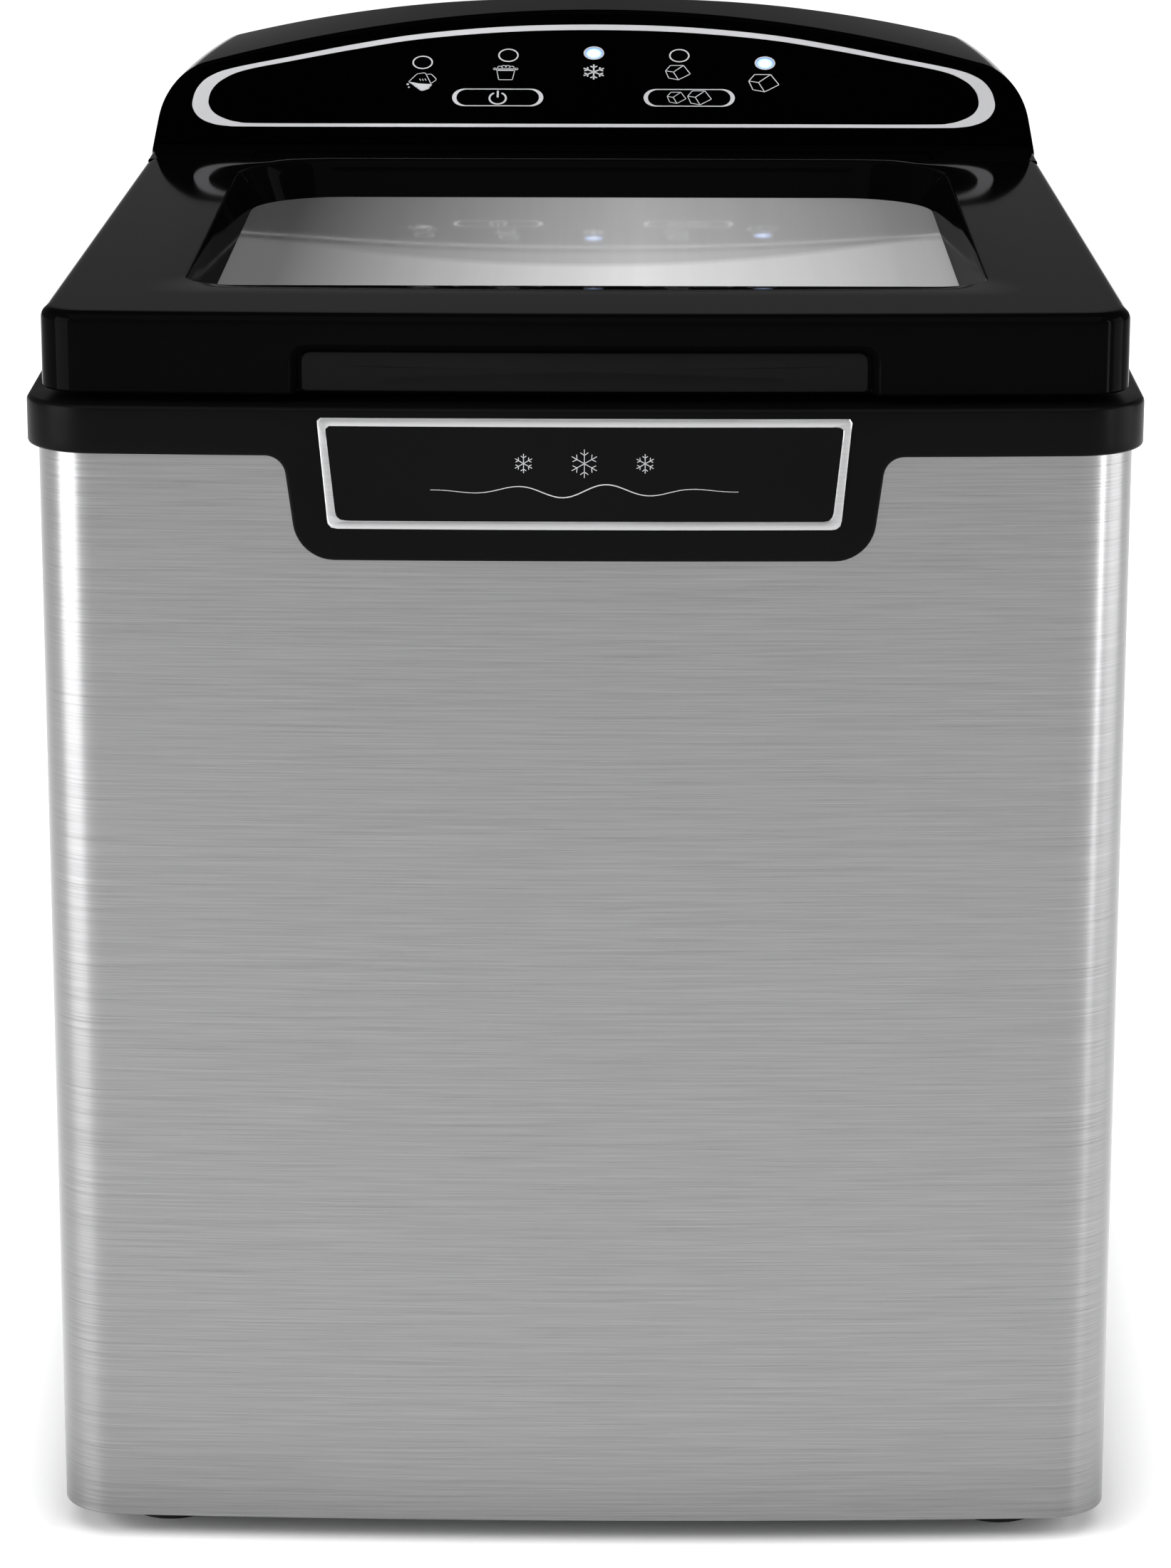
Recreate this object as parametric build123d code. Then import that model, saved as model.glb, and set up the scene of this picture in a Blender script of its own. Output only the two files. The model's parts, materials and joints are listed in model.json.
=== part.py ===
from build123d import *
import math
import os

os.makedirs("parts", exist_ok=True)

# Countertop bullet-ice maker. Millimetres, +Z up, front faces -Y,
# origin on the floor under the middle of the plan outline.

# ---------------------------------------------------------------- envelope
rim_width = 242.0
rim_depth = 356.0
body_bottom = 6.0
shell_height = 245.4
rim_height = 10.7
front_radius = 2160.0
corner_radius = 16.0
rear_corner_radius = 6.0
badge_proud = 0.35

# ---------------------------------------------------------------- casing
wrap_inset = 2.4
wrap_sheet = 0.6
wrap_tuck = 6.0
rim_plate = 3.0
rim_skirt_gap = 0.1
seat_gap = 0.2
base_plate = 3.0
base_lift = 2.0
base_lip = 14.0
base_wall = 3.0
cover_sheet = 2.0
cover_inset = 5.6
foot_diameter = 22.0
foot_inset = 26.0
foot_height = body_bottom + base_lift

# ---------------------------------------------------------------- apron and badge
apron_half_top = 64.6
apron_half_bottom = 61.6
apron_drop = 22.8
apron_corner = 9.0
apron_cove = 4.5
badge_half_top = 57.4
badge_half_bottom = 55.2
badge_top_drop = 2.1
badge_height = 24.4
badge_band = 1.9
badge_pocket = 0.9
badge_plate_thickness = 0.6

# ---------------------------------------------------------------- lid
lid_gap = 2.0
lid_height = 17.5
lid_inset = 3.6
lid_rear_taper = 7.2
lid_corner = 10.0
lid_edge = 2.2
lid_wall = 2.6
lid_front_wall = 5.2
lid_top_wall = 3.0
window_side_margin = 28.7
window_front_margin = 38.4
window_rear_margin = 18.5
opening_rear_margin = 9.0
window_front_corner = 12.0
window_rear_corner = 26.0
window_depth = 9.0
window_taper = 20.0
window_land = 2.0
pane_thickness = 3.0
inner_frame_thickness = 3.0
inner_frame_band = 5.0
seal_width = 5.0
seal_gap = 0.4
grip_half = 63.5
grip_height = 11.3
grip_depth = 2.6
grip_taper = 42.0
hinge_back = 6.0
hinge_drop = 6.0
hinge_pin_diameter = 5.0
hinge_pin_length = 20.0
hinge_pin_grip = 11.0
hinge_running_gap = 0.08
ear_margin = 34.2
ear_gap = 0.5
ear_radius = 12.4
lid_open_clearance = 0.5

# ---------------------------------------------------------------- control housing
hump_depth = 106.0
hump_face_angle = 32.5
hump_foot_margin = 5.0
hump_shoulder_margin = 8.8
hump_crown_z = 50.0
hump_crown_radius = 456.0
hump_shoulder_radius = 14.0
hump_rear_inset = 2.5
hump_rear_radius = 32.0
hump_wall = 2.5
overlay_inset = 1.0
overlay_thickness = 1.2
button_length = 24.0
button_height = 7.6
button_gap = 0.3
button_spread = 25.0
button_row = 20.5
button_proud = 0.2
button_depth = 4.0
button_travel = 0.6
light_diameter = 4.6
light_gap = 0.1
light_crown = 38.8
light_spread = 22.5
light_bow_radius = 256.0
board_depth = 8.0
board_thickness = 1.6
board_half = 62.0
board_low = 12.0
board_high = 44.0
cable_width = 14.0
cable_thickness = 1.0
cable_x = -52.0

# ---------------------------------------------------------------- ice compartment
liner_wall = 2.0
liner_side_margin = 23.0
liner_front_margin = 26.0
liner_corner = 12.0
liner_flange = 8.0
foam_gap = 0.3
foam_floor = 3.0
foam_rear = 12.0
bay_depth = 94.0
pivot_forward = 34.0
pivot_drop = 58.1
finger_diameter = 12.0
finger_length = 36.0
finger_pitch = 28.0
finger_row_gap = 22.0
finger_back = 20.0
evaporator_lift = 16.0
evaporator_plate_height = 6.0
tray_half = 70.0
tray_wall = 2.0
tray_front_reach = 56.0
tray_rear_reach = 6.0
tray_rise = 2.0
tray_finger_gap = 4.0
shaft_diameter = 8.0
shaft_ear = 8.0
shaft_stub = 12.0
shaft_running_gap = 0.08
bush_outer = 16.0
motor_size = 36.0
motor_gap = 6.0
grid_clearance = 2.2
grid_sheet = 2.0
grid_slope = 4.0
grid_slot = 5.0
basket_half = 88.0
basket_wall = 2.0
basket_height = 72.0
basket_flange = 4.0
basket_gap = 3.0
basket_corner = 14.0
basket_slot = 4.0
ledge_height = 4.0
pump_diameter = 34.0
pump_height = 42.0
hose_diameter = 7.0
hose_crossing = 12.3
drain_bore = 10.6
drain_wall = 2.0
drain_height = 16.0
plug_diameter = 10.0
plug_length = 14.0
plug_head = 18.0
plug_head_height = 2.0

# ---------------------------------------------------------------- cooling bay
bay_sheet = 1.0
compressor_diameter = 88.0
compressor_height = 116.0
compressor_round = 18.0
compressor_foot = 3.0
grommet_height = 9.0
grommet_diameter = 16.0
bolt_diameter = 6.0
bolt_gap = 0.3
fin_thickness = 0.6
fin_pitch = 5.5
fin_count = 11
fin_width = 22.0
condenser_height = 100.0
condenser_rows = 5
condenser_tube = 7.0
tube_gap = 0.1
fan_diameter = 66.0
fan_opening = 70.0
fan_frame = 76.0
fan_frame_depth = 24.0
fan_blade_count = 7
fan_hub = 26.0
drier_diameter = 14.0
drier_length = 80.0
line_diameter = 5.0
suction_diameter = 8.0
gland_bore = 7.6
gland_outer = 16.0
screw_diameter = 3.4
screw_head = 7.0
screw_length = 12.0

# ---------------------------------------------------------------- derived places
rim_half = rim_width / 2
front_y = -rim_depth / 2
rear_y = rim_depth / 2
rim_front_y = front_y + badge_proud
rim_bottom = body_bottom + shell_height
rim_top = rim_bottom + rim_height
rim_under = rim_top - rim_plate
wrap_half = rim_half - wrap_inset
wrap_front_y = front_y + wrap_inset
cover_front_y = rear_y - cover_inset
cover_rear_y = cover_front_y + cover_sheet
wrap_rear_y = cover_front_y - seat_gap
wrap_corner = corner_radius - wrap_inset + rim_skirt_gap
inner_half = wrap_half - wrap_sheet - seat_gap
inner_front_y = wrap_front_y + wrap_sheet + seat_gap
base_z = body_bottom + base_lift
base_top = base_z + base_plate

lid_bottom = rim_top + lid_gap
lid_top = lid_bottom + lid_height
hump_front_y = rear_y - hump_depth
lid_rear_y = hump_front_y - lid_open_clearance
lid_front_y = front_y + lid_inset
lid_half = rim_half - lid_inset
lid_rear_half = rim_half - lid_rear_taper
hump_foot_half = rim_half - hump_foot_margin
hump_shoulder_half = rim_half - hump_shoulder_margin
ear_inner = rim_half - ear_margin
hinge_y = lid_rear_y - hinge_back
hinge_z = lid_top - hinge_drop
pane_top = lid_top - window_depth
pane_bottom = pane_top - pane_thickness
window_half = rim_half - window_side_margin - lid_inset
window_front_y = lid_front_y + window_front_margin
window_rear_y = lid_rear_y - window_rear_margin
opening_rear_y = window_rear_y - opening_rear_margin
ear_front_y = hinge_y - ear_radius
ear_outer = lid_rear_half - seat_gap

liner_half = rim_half - liner_side_margin
liner_front_y = front_y + liner_front_margin
bay_front_y = wrap_rear_y - bay_depth + seat_gap
liner_rear_y = bay_front_y - foam_rear - foam_gap * 2 - liner_wall
liner_floor = base_top + foam_floor + 20.0
pivot_y = liner_rear_y - pivot_forward
pivot_z = rim_top - pivot_drop
tray_outer = tray_half + tray_wall
tray_drop = finger_length - evaporator_lift + tray_finger_gap + tray_wall
evaporator_z = pivot_z + evaporator_lift
finger_rear_y = pivot_y - finger_back
finger_front_y = finger_rear_y - finger_row_gap
sweep_radius = math.hypot(tray_front_reach + tray_wall, tray_drop + tray_wall)
grid_radius = sweep_radius + grid_clearance
grid_front_y = pivot_y - tray_front_reach - tray_wall - 8.0
basket_rear_y = grid_front_y - basket_gap
basket_front_y = liner_front_y + basket_gap
grid_bottom_z = pivot_z - grid_radius - grid_sheet
basket_top = grid_bottom_z - grid_slope
basket_bottom = basket_top - basket_height
ledge_top = basket_top - basket_wall

compressor_x = -54.0
compressor_y = bay_front_y + 47.0
compressor_bottom = base_top + grommet_height + compressor_foot
condenser_x = inner_half - base_wall - fin_width / 2 - 0.4
fin_front_y = bay_front_y + 17.0
fan_y = bay_front_y + 4.0 + fan_frame / 2
fan_z = base_top + 51.0
fan_right = condenser_x - fin_width / 2 - 0.4
fan_left = fan_right - fan_frame_depth
drain_y = pivot_y + 10.0
screw_posts_x = rim_half - 12.0
screw_top_z = rim_under - 14.0
screw_low_z = base_top + 7.0

face_plane = Plane(
    origin=(0, hump_front_y, lid_top),
    x_dir=(1, 0, 0),
    z_dir=(0, -math.sin(math.radians(hump_face_angle)), math.cos(math.radians(hump_face_angle))),
)


# ---------------------------------------------------------------- helpers
def block(x0, x1, y0, y1, z0, z1):
    """Axis-aligned box between two corners."""
    middle = Pos((x0 + x1) / 2, (y0 + y1) / 2, (z0 + z1) / 2)
    return middle * Box(x1 - x0, y1 - y0, z1 - z0)


def rod(x, y, z0, z1, radius):
    """Upright cylinder from z0 to z1."""
    return Pos(x, y, (z0 + z1) / 2) * Cylinder(radius, z1 - z0)


def rod_x(x0, x1, y, z, radius):
    """Cylinder along X."""
    return Pos((x0 + x1) / 2, y, z) * Rot(0, 90, 0) * Cylinder(radius, x1 - x0)


def rod_y(x, y0, y1, z, radius):
    """Cylinder along Y."""
    return Pos(x, (y0 + y1) / 2, z) * Rot(90, 0, 0) * Cylinder(radius, y1 - y0)


def prism(face, z0, z1):
    """Face in the XY plane carried from z0 to z1."""
    return Pos(0, 0, z0) * extrude(face, amount=z1 - z0)


def slab_x(points, x0, x1, rounds=None):
    """Y-Z outline carried along X; rounds pairs a vertex index with its radius."""
    outline = rounded_polygon(points, rounds or {})
    return extrude(Plane(origin=(x0, 0, 0), x_dir=(0, 1, 0), z_dir=(1, 0, 0)) * outline, amount=x1 - x0)


def slab_y(points, y0, y1, rounds=None):
    """X-Z outline carried along +Y."""
    outline = rounded_polygon(points, rounds or {})
    return extrude(Plane(origin=(0, y0, 0), x_dir=(1, 0, 0), z_dir=(0, -1, 0)) * outline, amount=y0 - y1)


def rounded_polygon(points, rounds):
    """Closed polygon whose listed corners are rounded."""
    face = make_face(Polyline(*points, close=True))
    for index, radius in rounds.items():
        corner = Vector(points[index][0], points[index][1], 0)
        vertex = min(face.vertices(), key=lambda v: (Vector(*v) - corner).length)
        face = fillet(vertex, radius)
    return face


def plan_face(half_x, y_front, y_rear, r_front, r_rear):
    """Plan outline with a gently bowed front edge and rounded corners."""
    drop = front_radius - math.sqrt(front_radius**2 - half_x**2)
    start = (-half_x, y_front + drop)
    end = (half_x, y_front + drop)
    bow = ThreePointArc(start, (0, y_front), end)
    sides = Polyline(end, (half_x, y_rear), (-half_x, y_rear), start)
    face = make_face(Curve() + [bow, sides])
    if r_front > 0:
        face = fillet(face.vertices().sort_by(Axis.Y)[:2], r_front)
    if r_rear > 0:
        face = fillet(face.vertices().sort_by(Axis.Y)[-2:], r_rear)
    return face


def rounded_box(x0, x1, y0, y1, z0, z1, radius):
    """Box with rounded upright edges."""
    shape = Rectangle(x1 - x0, y1 - y0)
    shape = fillet(shape.vertices(), radius)
    return Pos((x0 + x1) / 2, (y0 + y1) / 2, z0) * extrude(shape, amount=z1 - z0)


def pipe(points, diameter, radius):
    """Round tube solid along straight runs joined by tangent arcs."""
    path = FilletPolyline(*points, radius=radius) if len(points) > 2 else Line(*points)
    section = Plane(origin=path @ 0, z_dir=path % 0) * Circle(diameter / 2)
    return sweep(section, path=path)


def save(shape, name):
    """Write one node."""
    export_step(shape, "parts/" + name + ".step")


def group(solids):
    """Separate solids kept side by side in one node."""
    members = []
    for solid in solids:
        members += list(solid.solids())
    return Compound(children=members)


# ---------------------------------------------------------------- casing parts
def wrap_plan(extra):
    """Plan outline of the steel skin, grown outwards by extra."""
    return plan_face(
        wrap_half + extra, wrap_front_y - extra, wrap_rear_y + extra, wrap_corner + extra, 0
    )


def make_base_pan():
    """Moulded floor with an upturned lip inside the steel skin."""
    corner = wrap_corner - wrap_sheet - seat_gap
    outer = plan_face(inner_half, inner_front_y, wrap_rear_y - seat_gap, corner, 3.0)
    inner = plan_face(
        inner_half - base_wall,
        inner_front_y + base_wall,
        wrap_rear_y - seat_gap - base_wall,
        corner - base_wall,
        1.0,
    )
    pan = prism(outer, base_z, base_top + base_lip) - prism(inner, base_top, base_top + base_lip)
    for x, y in foot_places():
        pan -= rod(x, y, base_z, base_top, 3.0)
    for x, y in grommet_places():
        pan -= rod(x, y, base_z, base_top, bolt_diameter / 2 + bolt_gap)
    for x in (-screw_posts_x, screw_posts_x):
        pan -= rod_y(x, wrap_rear_y - 8, wrap_rear_y, screw_low_z, screw_diameter / 2 + 0.05)
    pan -= rod_x(-rim_half, -inner_half + base_wall + 1, drain_y, drain_height, drain_bore / 2 + drain_wall + 0.4)
    return pan


def foot_places():
    """Centres of the four feet."""
    x = rim_half - foot_inset
    return [(sx * x, sy) for sx in (-1, 1) for sy in (front_y + foot_inset, rear_y - foot_inset)]


def make_feet():
    """Rubber feet, each with a stem that pulls through the base."""
    feet = []
    for x, y in foot_places():
        foot = rod(x, y, 0, foot_height, foot_diameter / 2)
        foot = chamfer(foot.faces().sort_by(Axis.Z)[0].edges(), 1.5)
        foot += rod(x, y, foot_height, base_top, 2.9)
        feet.append(foot)
    return group(feet)


def make_wrap():
    """Brushed steel skin bent round the front and both sides."""
    outer = wrap_plan(0)
    inner = plan_face(
        wrap_half - wrap_sheet,
        wrap_front_y + wrap_sheet,
        wrap_rear_y + 5,
        wrap_corner - wrap_sheet,
        0,
    )
    skin = prism(outer, body_bottom, rim_bottom + wrap_tuck) - prism(inner, body_bottom, rim_bottom + wrap_tuck)
    slots = []
    slot_z = [base_top + 24 + 9 * i for i in range(11)]
    for z in slot_z:
        for y in (bay_front_y + 30, bay_front_y + 66):
            slots.append(Pos(0, y, z) * Box(rim_width, 28, 3.4))
    skin -= slots
    skin -= rod_x(-rim_half, -wrap_half + 2, drain_y, drain_height, drain_bore / 2 + drain_wall + 0.4)
    return skin


def make_rear_cover():
    """Rear panel with rows of louvre slots."""
    cover = block(-wrap_half, wrap_half, cover_front_y, cover_rear_y, base_z, rim_bottom - seat_gap)
    cover = fillet(cover.edges().filter_by(Axis.Y), 4.0)
    slots = []
    for i in range(12):
        z = base_top + 58 + 9 * i
        for x in (-58, 0, 58):
            slots.append(Pos(x, cover_front_y, z) * Box(46, 10, 3.6))
    cover -= slots
    for x in (-screw_posts_x, screw_posts_x):
        for z in (screw_low_z, screw_top_z):
            cover -= rod_y(x, cover_front_y - 1, cover_rear_y + 1, z, screw_diameter / 2 + 0.2)
    cover -= rod_y(gland_x(), cover_front_y - 1, cover_rear_y + 1, gland_z(), gland_outer / 2 - 1.9)
    return cover


def gland_x():
    """Side place of the mains inlet."""
    return -rim_half + 36.0


def gland_z():
    """Height of the mains inlet."""
    return base_top + 34.0


def make_gland():
    """Grooved bush that lines the mains inlet hole."""
    x = gland_x()
    z = gland_z()
    radius = gland_outer / 2
    bush = rod_y(x, cover_front_y - 3.0, cover_rear_y + 2.6, z, radius)
    groove = rod_y(x, cover_front_y - 0.1, cover_rear_y + 0.1, z, radius + 1) - rod_y(
        x, cover_front_y - 0.1, cover_rear_y + 0.1, z, radius - 2.0
    )
    return bush - groove - rod_y(x, cover_front_y - 4, cover_rear_y + 4, z, gland_bore / 2)


def make_screws():
    """Pan-head screws of the rear cover."""
    screws = []
    for x in (-screw_posts_x, screw_posts_x):
        for z in (screw_low_z, screw_top_z):
            head = rod_y(x, cover_rear_y, cover_rear_y + 2.0, z, screw_head / 2)
            head = fillet(head.faces().sort_by(Axis.Y)[-1].edges(), 0.9)
            head += rod_y(x, cover_rear_y + 1 - screw_length, cover_rear_y + 0.5, z, screw_diameter / 2)
            head -= Pos(x, cover_rear_y + 2.0, z) * Box(4.2, 1.6, 0.9)
            head -= Pos(x, cover_rear_y + 2.0, z) * Box(0.9, 1.6, 4.2)
            screws.append(head)
    return group(screws)


def apron_prism(y0, y1):
    """Tongue below the rim that carries the badge."""
    low = rim_bottom - apron_drop
    wide = apron_half_top + 12
    points = [
        (-wide, rim_bottom + 3),
        (-wide, rim_bottom),
        (-apron_half_top, rim_bottom),
        (-apron_half_bottom, low),
        (apron_half_bottom, low),
        (apron_half_top, rim_bottom),
        (wide, rim_bottom),
        (wide, rim_bottom + 3),
    ]
    rounds = {2: apron_cove, 3: apron_corner, 4: apron_corner, 5: apron_cove}
    return slab_y(points, y0, y1, rounds)


def badge_prism(shrink, y0, y1):
    """Trapezoid of the badge, shrunk on every side."""
    top = rim_top - badge_top_drop - shrink
    bottom = rim_top - badge_top_drop - badge_height + shrink
    high = badge_half_top - shrink
    low = badge_half_bottom - shrink
    points = [(-high, top), (-low, bottom), (low, bottom), (high, top)]
    rounds = {0: 0.8, 1: max(2.5 - shrink * 0.7, 1.0), 2: max(2.5 - shrink * 0.7, 1.0), 3: 0.8}
    return slab_y(points, y0, y1, rounds)


def front_layer(y_front, thickness, z0, z1):
    """Thin layer that follows the bowed front, measured from y_front inwards."""
    outer = plan_face(rim_half, y_front, front_y + 60, 0, 0)
    inner = plan_face(rim_half + 1, y_front + thickness, front_y + 61, 0, 0)
    return prism(outer, z0, z1) - prism(inner, z0, z1)


def make_rim():
    """Black top rim with apron, opening for the compartment and screw posts."""
    outline = plan_face(rim_half, rim_front_y, rear_y, corner_radius, rear_corner_radius)
    rim = prism(outline, rim_bottom, rim_top)
    rim = fillet(rim.faces().sort_by(Axis.Z)[-1].edges(), 1.2)
    rim = fillet(rim.faces().sort_by(Axis.Z)[0].edges(), 0.6)
    apron = apron_prism(front_y, wrap_front_y + 3)
    apron_low = rim_bottom - apron_drop - 1
    plan_apron = plan_face(rim_half, rim_front_y, front_y + 60, corner_radius, 0)
    rim += apron & prism(plan_apron, apron_low, rim_top - 3)
    skirt = rim_skirt_gap
    hollow = plan_face(
        wrap_half + skirt,
        wrap_front_y - skirt,
        rear_y - wrap_inset,
        wrap_corner + skirt,
        rear_corner_radius / 2,
    )
    rim -= prism(hollow, apron_low, rim_under)
    rim -= badge_prism(0, front_y - 1, rim_front_y + 12) & front_layer(
        rim_front_y, badge_pocket, rim_bottom - apron_drop, rim_top
    )
    rim -= rounded_box(
        -liner_half, liner_half, liner_front_y, opening_rear_y, rim_under - 1, rim_top + 1, liner_corner
    )
    rim -= block(cable_x - 12, cable_x + 12, hump_front_y + 14, hump_front_y + 40, rim_under - 1, rim_top + 1)
    for x in (-screw_posts_x, screw_posts_x):
        post = block(x - 6, x + 6, wrap_rear_y - 12, wrap_rear_y, screw_top_z - 6, rim_under)
        rim += post
        rim -= rod_y(x, wrap_rear_y - 13, wrap_rear_y + 1, screw_top_z, screw_diameter / 2 + 0.05)
    return rim


def make_badge_plate():
    """Glossy plate inside the badge frame."""
    layer = front_layer(
        rim_front_y + badge_pocket - badge_plate_thickness,
        badge_plate_thickness,
        rim_bottom - apron_drop,
        rim_top,
    )
    return badge_prism(badge_band + 0.05, front_y - 1, front_y + 8) & layer


def make_badge_frame():
    """Bright band round the badge, slightly proud of the rim."""
    layer = front_layer(front_y, badge_pocket + badge_proud, rim_bottom - apron_drop, rim_top)
    ring = badge_prism(0.05, front_y - 1, front_y + 8) - badge_prism(badge_band, front_y - 2, front_y + 9)
    return ring & layer


# ---------------------------------------------------------------- lid
def lid_plan(shrink):
    """Plan of the lid: bowed front, sides that close in slightly towards the rear."""
    half = lid_half - shrink
    rear = lid_rear_half - shrink
    y_front = lid_front_y + shrink
    y_rear = lid_rear_y + 10
    drop = front_radius - math.sqrt(front_radius**2 - half**2)
    bow = ThreePointArc((-half, y_front + drop), (0, y_front), (half, y_front + drop))
    sides = Polyline((half, y_front + drop), (rear, y_rear), (-rear, y_rear), (-half, y_front + drop))
    face = make_face(Curve() + [bow, sides])
    return fillet(face.vertices().sort_by(Axis.Y)[:2], lid_corner - shrink * 0.5)


def window_face(grow):
    """Plan of the window recess at the lid's top face."""
    half = window_half + grow
    y0 = window_front_y - grow
    y1 = window_rear_y + grow
    points = [(-half, y0), (half, y0), (half, y1), (-half, y1)]
    front = window_front_corner + grow
    rear = window_rear_corner + grow
    return rounded_polygon(points, {0: front, 1: front, 2: rear, 3: rear})


def make_lid_frame():
    """Lid moulding with the window recess, finger grip and hinge tongue."""
    slab = prism(lid_plan(0), lid_bottom, lid_top)
    slab = fillet(slab.faces().sort_by(Axis.Z)[-1].edges(), lid_edge)
    slab = chamfer(slab.faces().sort_by(Axis.Z)[0].edges(), 0.5)
    side = [
        (lid_front_y - 5, lid_bottom - 1),
        (lid_front_y - 5, lid_top + 1),
        (lid_front_y, lid_top + 1),
        (lid_front_y, lid_top),
        (lid_rear_y, lid_top),
        (lid_rear_y, lid_bottom + 2.0),
        (hinge_y - 3, lid_bottom - 1),
    ]
    slab &= slab_x(side, -rim_half, rim_half, {4: hinge_back - 0.05})
    well = Pos(0, 0, lid_top) * extrude(window_face(0), amount=-window_depth, taper=window_taper)
    run = window_depth * math.tan(math.radians(window_taper))
    sight = prism(window_face(-run - window_land), lid_bottom - 1, pane_top + 0.1)
    cavity = prism(lid_cavity_plan(), lid_bottom - 1, lid_top - lid_top_wall)
    cavity -= prism(window_face(lid_wall), pane_top, lid_top)
    for side_sign in (-1, 1):
        x0, x1 = sorted((side_sign * (ear_inner - lid_wall - ear_gap), side_sign * rim_half))
        cavity -= block(x0, x1, ear_front_y - ear_gap - lid_wall, rear_y, lid_bottom - 2, lid_top)
    pane_seat = prism(window_face(lid_wall), lid_bottom - 1, pane_top)
    slab -= cavity
    slab -= pane_seat
    slab -= well
    slab -= sight
    reach = rim_half
    for side_sign in (-1, 1):
        x0, x1 = sorted((side_sign * (ear_inner - ear_gap), side_sign * reach))
        slab -= rod_x(x0, x1, hinge_y, hinge_z, ear_radius + ear_gap)
        slab -= block(x0, x1, hinge_y, lid_rear_y + 5, lid_bottom - 1, lid_top + 1)
        b0, b1 = sorted((side_sign * (ear_inner - hinge_pin_length + hinge_pin_grip - 1), side_sign * reach))
        slab -= rod_x(b0, b1, hinge_y, hinge_z, hinge_pin_diameter / 2 + hinge_running_gap)
    grip = rounded_polygon(
        [
            (-grip_half, lid_bottom - 8),
            (-grip_half, lid_bottom + grip_height),
            (grip_half, lid_bottom + grip_height),
            (grip_half, lid_bottom - 8),
        ],
        {1: 3.0, 2: 3.0},
    )
    plane = Plane(origin=(0, lid_front_y, 0), x_dir=(1, 0, 0), z_dir=(0, -1, 0))
    slab -= extrude(plane * grip, amount=-grip_depth, taper=grip_taper)
    return slab


def lid_cavity_plan():
    """Hollow under the lid's top plate, stopping at the hinge block."""
    half = lid_rear_half - lid_wall
    y0 = lid_front_y + lid_front_wall
    y1 = window_rear_y + lid_wall
    return plan_face(half, y0, y1, lid_corner, 2.0)


def make_lid_window():
    """Tinted pane seated under the recess walls."""
    return prism(window_face(lid_wall - 0.3), pane_bottom, pane_top)


def make_lid_inner_frame():
    """Flat ring that holds the pane up from below."""
    half = lid_rear_half - lid_wall - 0.2
    outer = plan_face(half, lid_front_y + lid_front_wall + 0.2, window_rear_y + lid_wall - 0.2, lid_corner, 1.8)
    top = pane_bottom
    ring = prism(outer, top - inner_frame_thickness, top)
    hole = window_face(-inner_frame_band - 3)
    ring -= prism(hole, top - inner_frame_thickness - 1, top + 1)
    for side_sign in (-1, 1):
        x0, x1 = sorted((side_sign * (ear_inner - lid_wall - ear_gap - 0.2), side_sign * rim_half))
        ring -= block(x0, x1, ear_front_y - ear_gap - lid_wall - 0.2, rear_y, lid_bottom - 2, lid_top)
    return ring


def seal_face(grow):
    """Plan of the lid seal line round the compartment opening."""
    half = liner_half + 1.5 + grow
    y0 = liner_front_y - 1.5 - grow
    y1 = opening_rear_y + 1.5 + grow
    corner = liner_corner + grow
    return rounded_polygon(
        [(-half, y0), (half, y0), (half, y1), (-half, y1)], {0: corner, 1: corner, 2: corner, 3: corner}
    )


def make_lid_seal():
    """Soft ring between the lid's inner frame and the rim."""
    z0 = rim_top + seal_gap
    z1 = pane_bottom - inner_frame_thickness
    ring = prism(seal_face(seal_width * 0.5), z0, z1) - prism(seal_face(-0.5), z0 - 1, z1 + 1)
    return ring


def make_hinge_pins():
    """Two steel pins fixed in the housing's ears."""
    pins = []
    for side_sign in (-1, 1):
        x0, x1 = sorted(
            (side_sign * (ear_inner - hinge_pin_length + hinge_pin_grip), side_sign * (ear_inner + hinge_pin_grip))
        )
        pins.append(chamfer(rod_x(x0, x1, hinge_y, hinge_z, hinge_pin_diameter / 2).edges(), 0.4))
    return group(pins)


# ---------------------------------------------------------------- control housing
def hump_solid(shrink, foot_z, face_shrink=None):
    """Control housing envelope, shrunk inwards on every face but its foot."""
    crown = rim_top + hump_crown_z - shrink
    shoulder_half = hump_shoulder_half - shrink
    foot_half = hump_foot_half - shrink
    radius = hump_crown_radius - shrink
    shoulder_z = crown - radius + math.sqrt(radius**2 - shoulder_half**2)
    arc = ThreePointArc((-shoulder_half, shoulder_z), (0, crown), (shoulder_half, shoulder_z))
    rest = Polyline(
        (shoulder_half, shoulder_z), (foot_half, foot_z), (-foot_half, foot_z), (-shoulder_half, shoulder_z)
    )
    outline = make_face(Curve() + [arc, rest])
    outline = fillet(outline.vertices().sort_by(Axis.Y)[-2:], hump_shoulder_radius - shrink)
    y0 = hump_front_y + shrink
    y1 = rear_y - hump_rear_inset - shrink
    across = extrude(Plane(origin=(0, y0, 0), x_dir=(1, 0, 0), z_dir=(0, -1, 0)) * outline, amount=y0 - y1)
    slope = math.tan(math.radians(hump_face_angle))
    face_step = shrink if face_shrink is None else face_shrink
    slant = face_step / math.cos(math.radians(hump_face_angle))
    high = crown + 1
    knee = lid_top - slant + slope * shrink
    side = [
        (y0, foot_z),
        (y0, knee),
        (y0 + (high - knee) / slope, high),
        (y1, high),
        (y1, foot_z),
    ]
    return across & slab_x(side, -rim_half, rim_half, {3: hump_rear_radius - shrink})


def face_slab(depth):
    """Everything from the slanted face down to a depth."""
    return face_plane * Pos(0, 60, -depth / 2) * Box(rim_width * 1.2, 160, depth)


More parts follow.
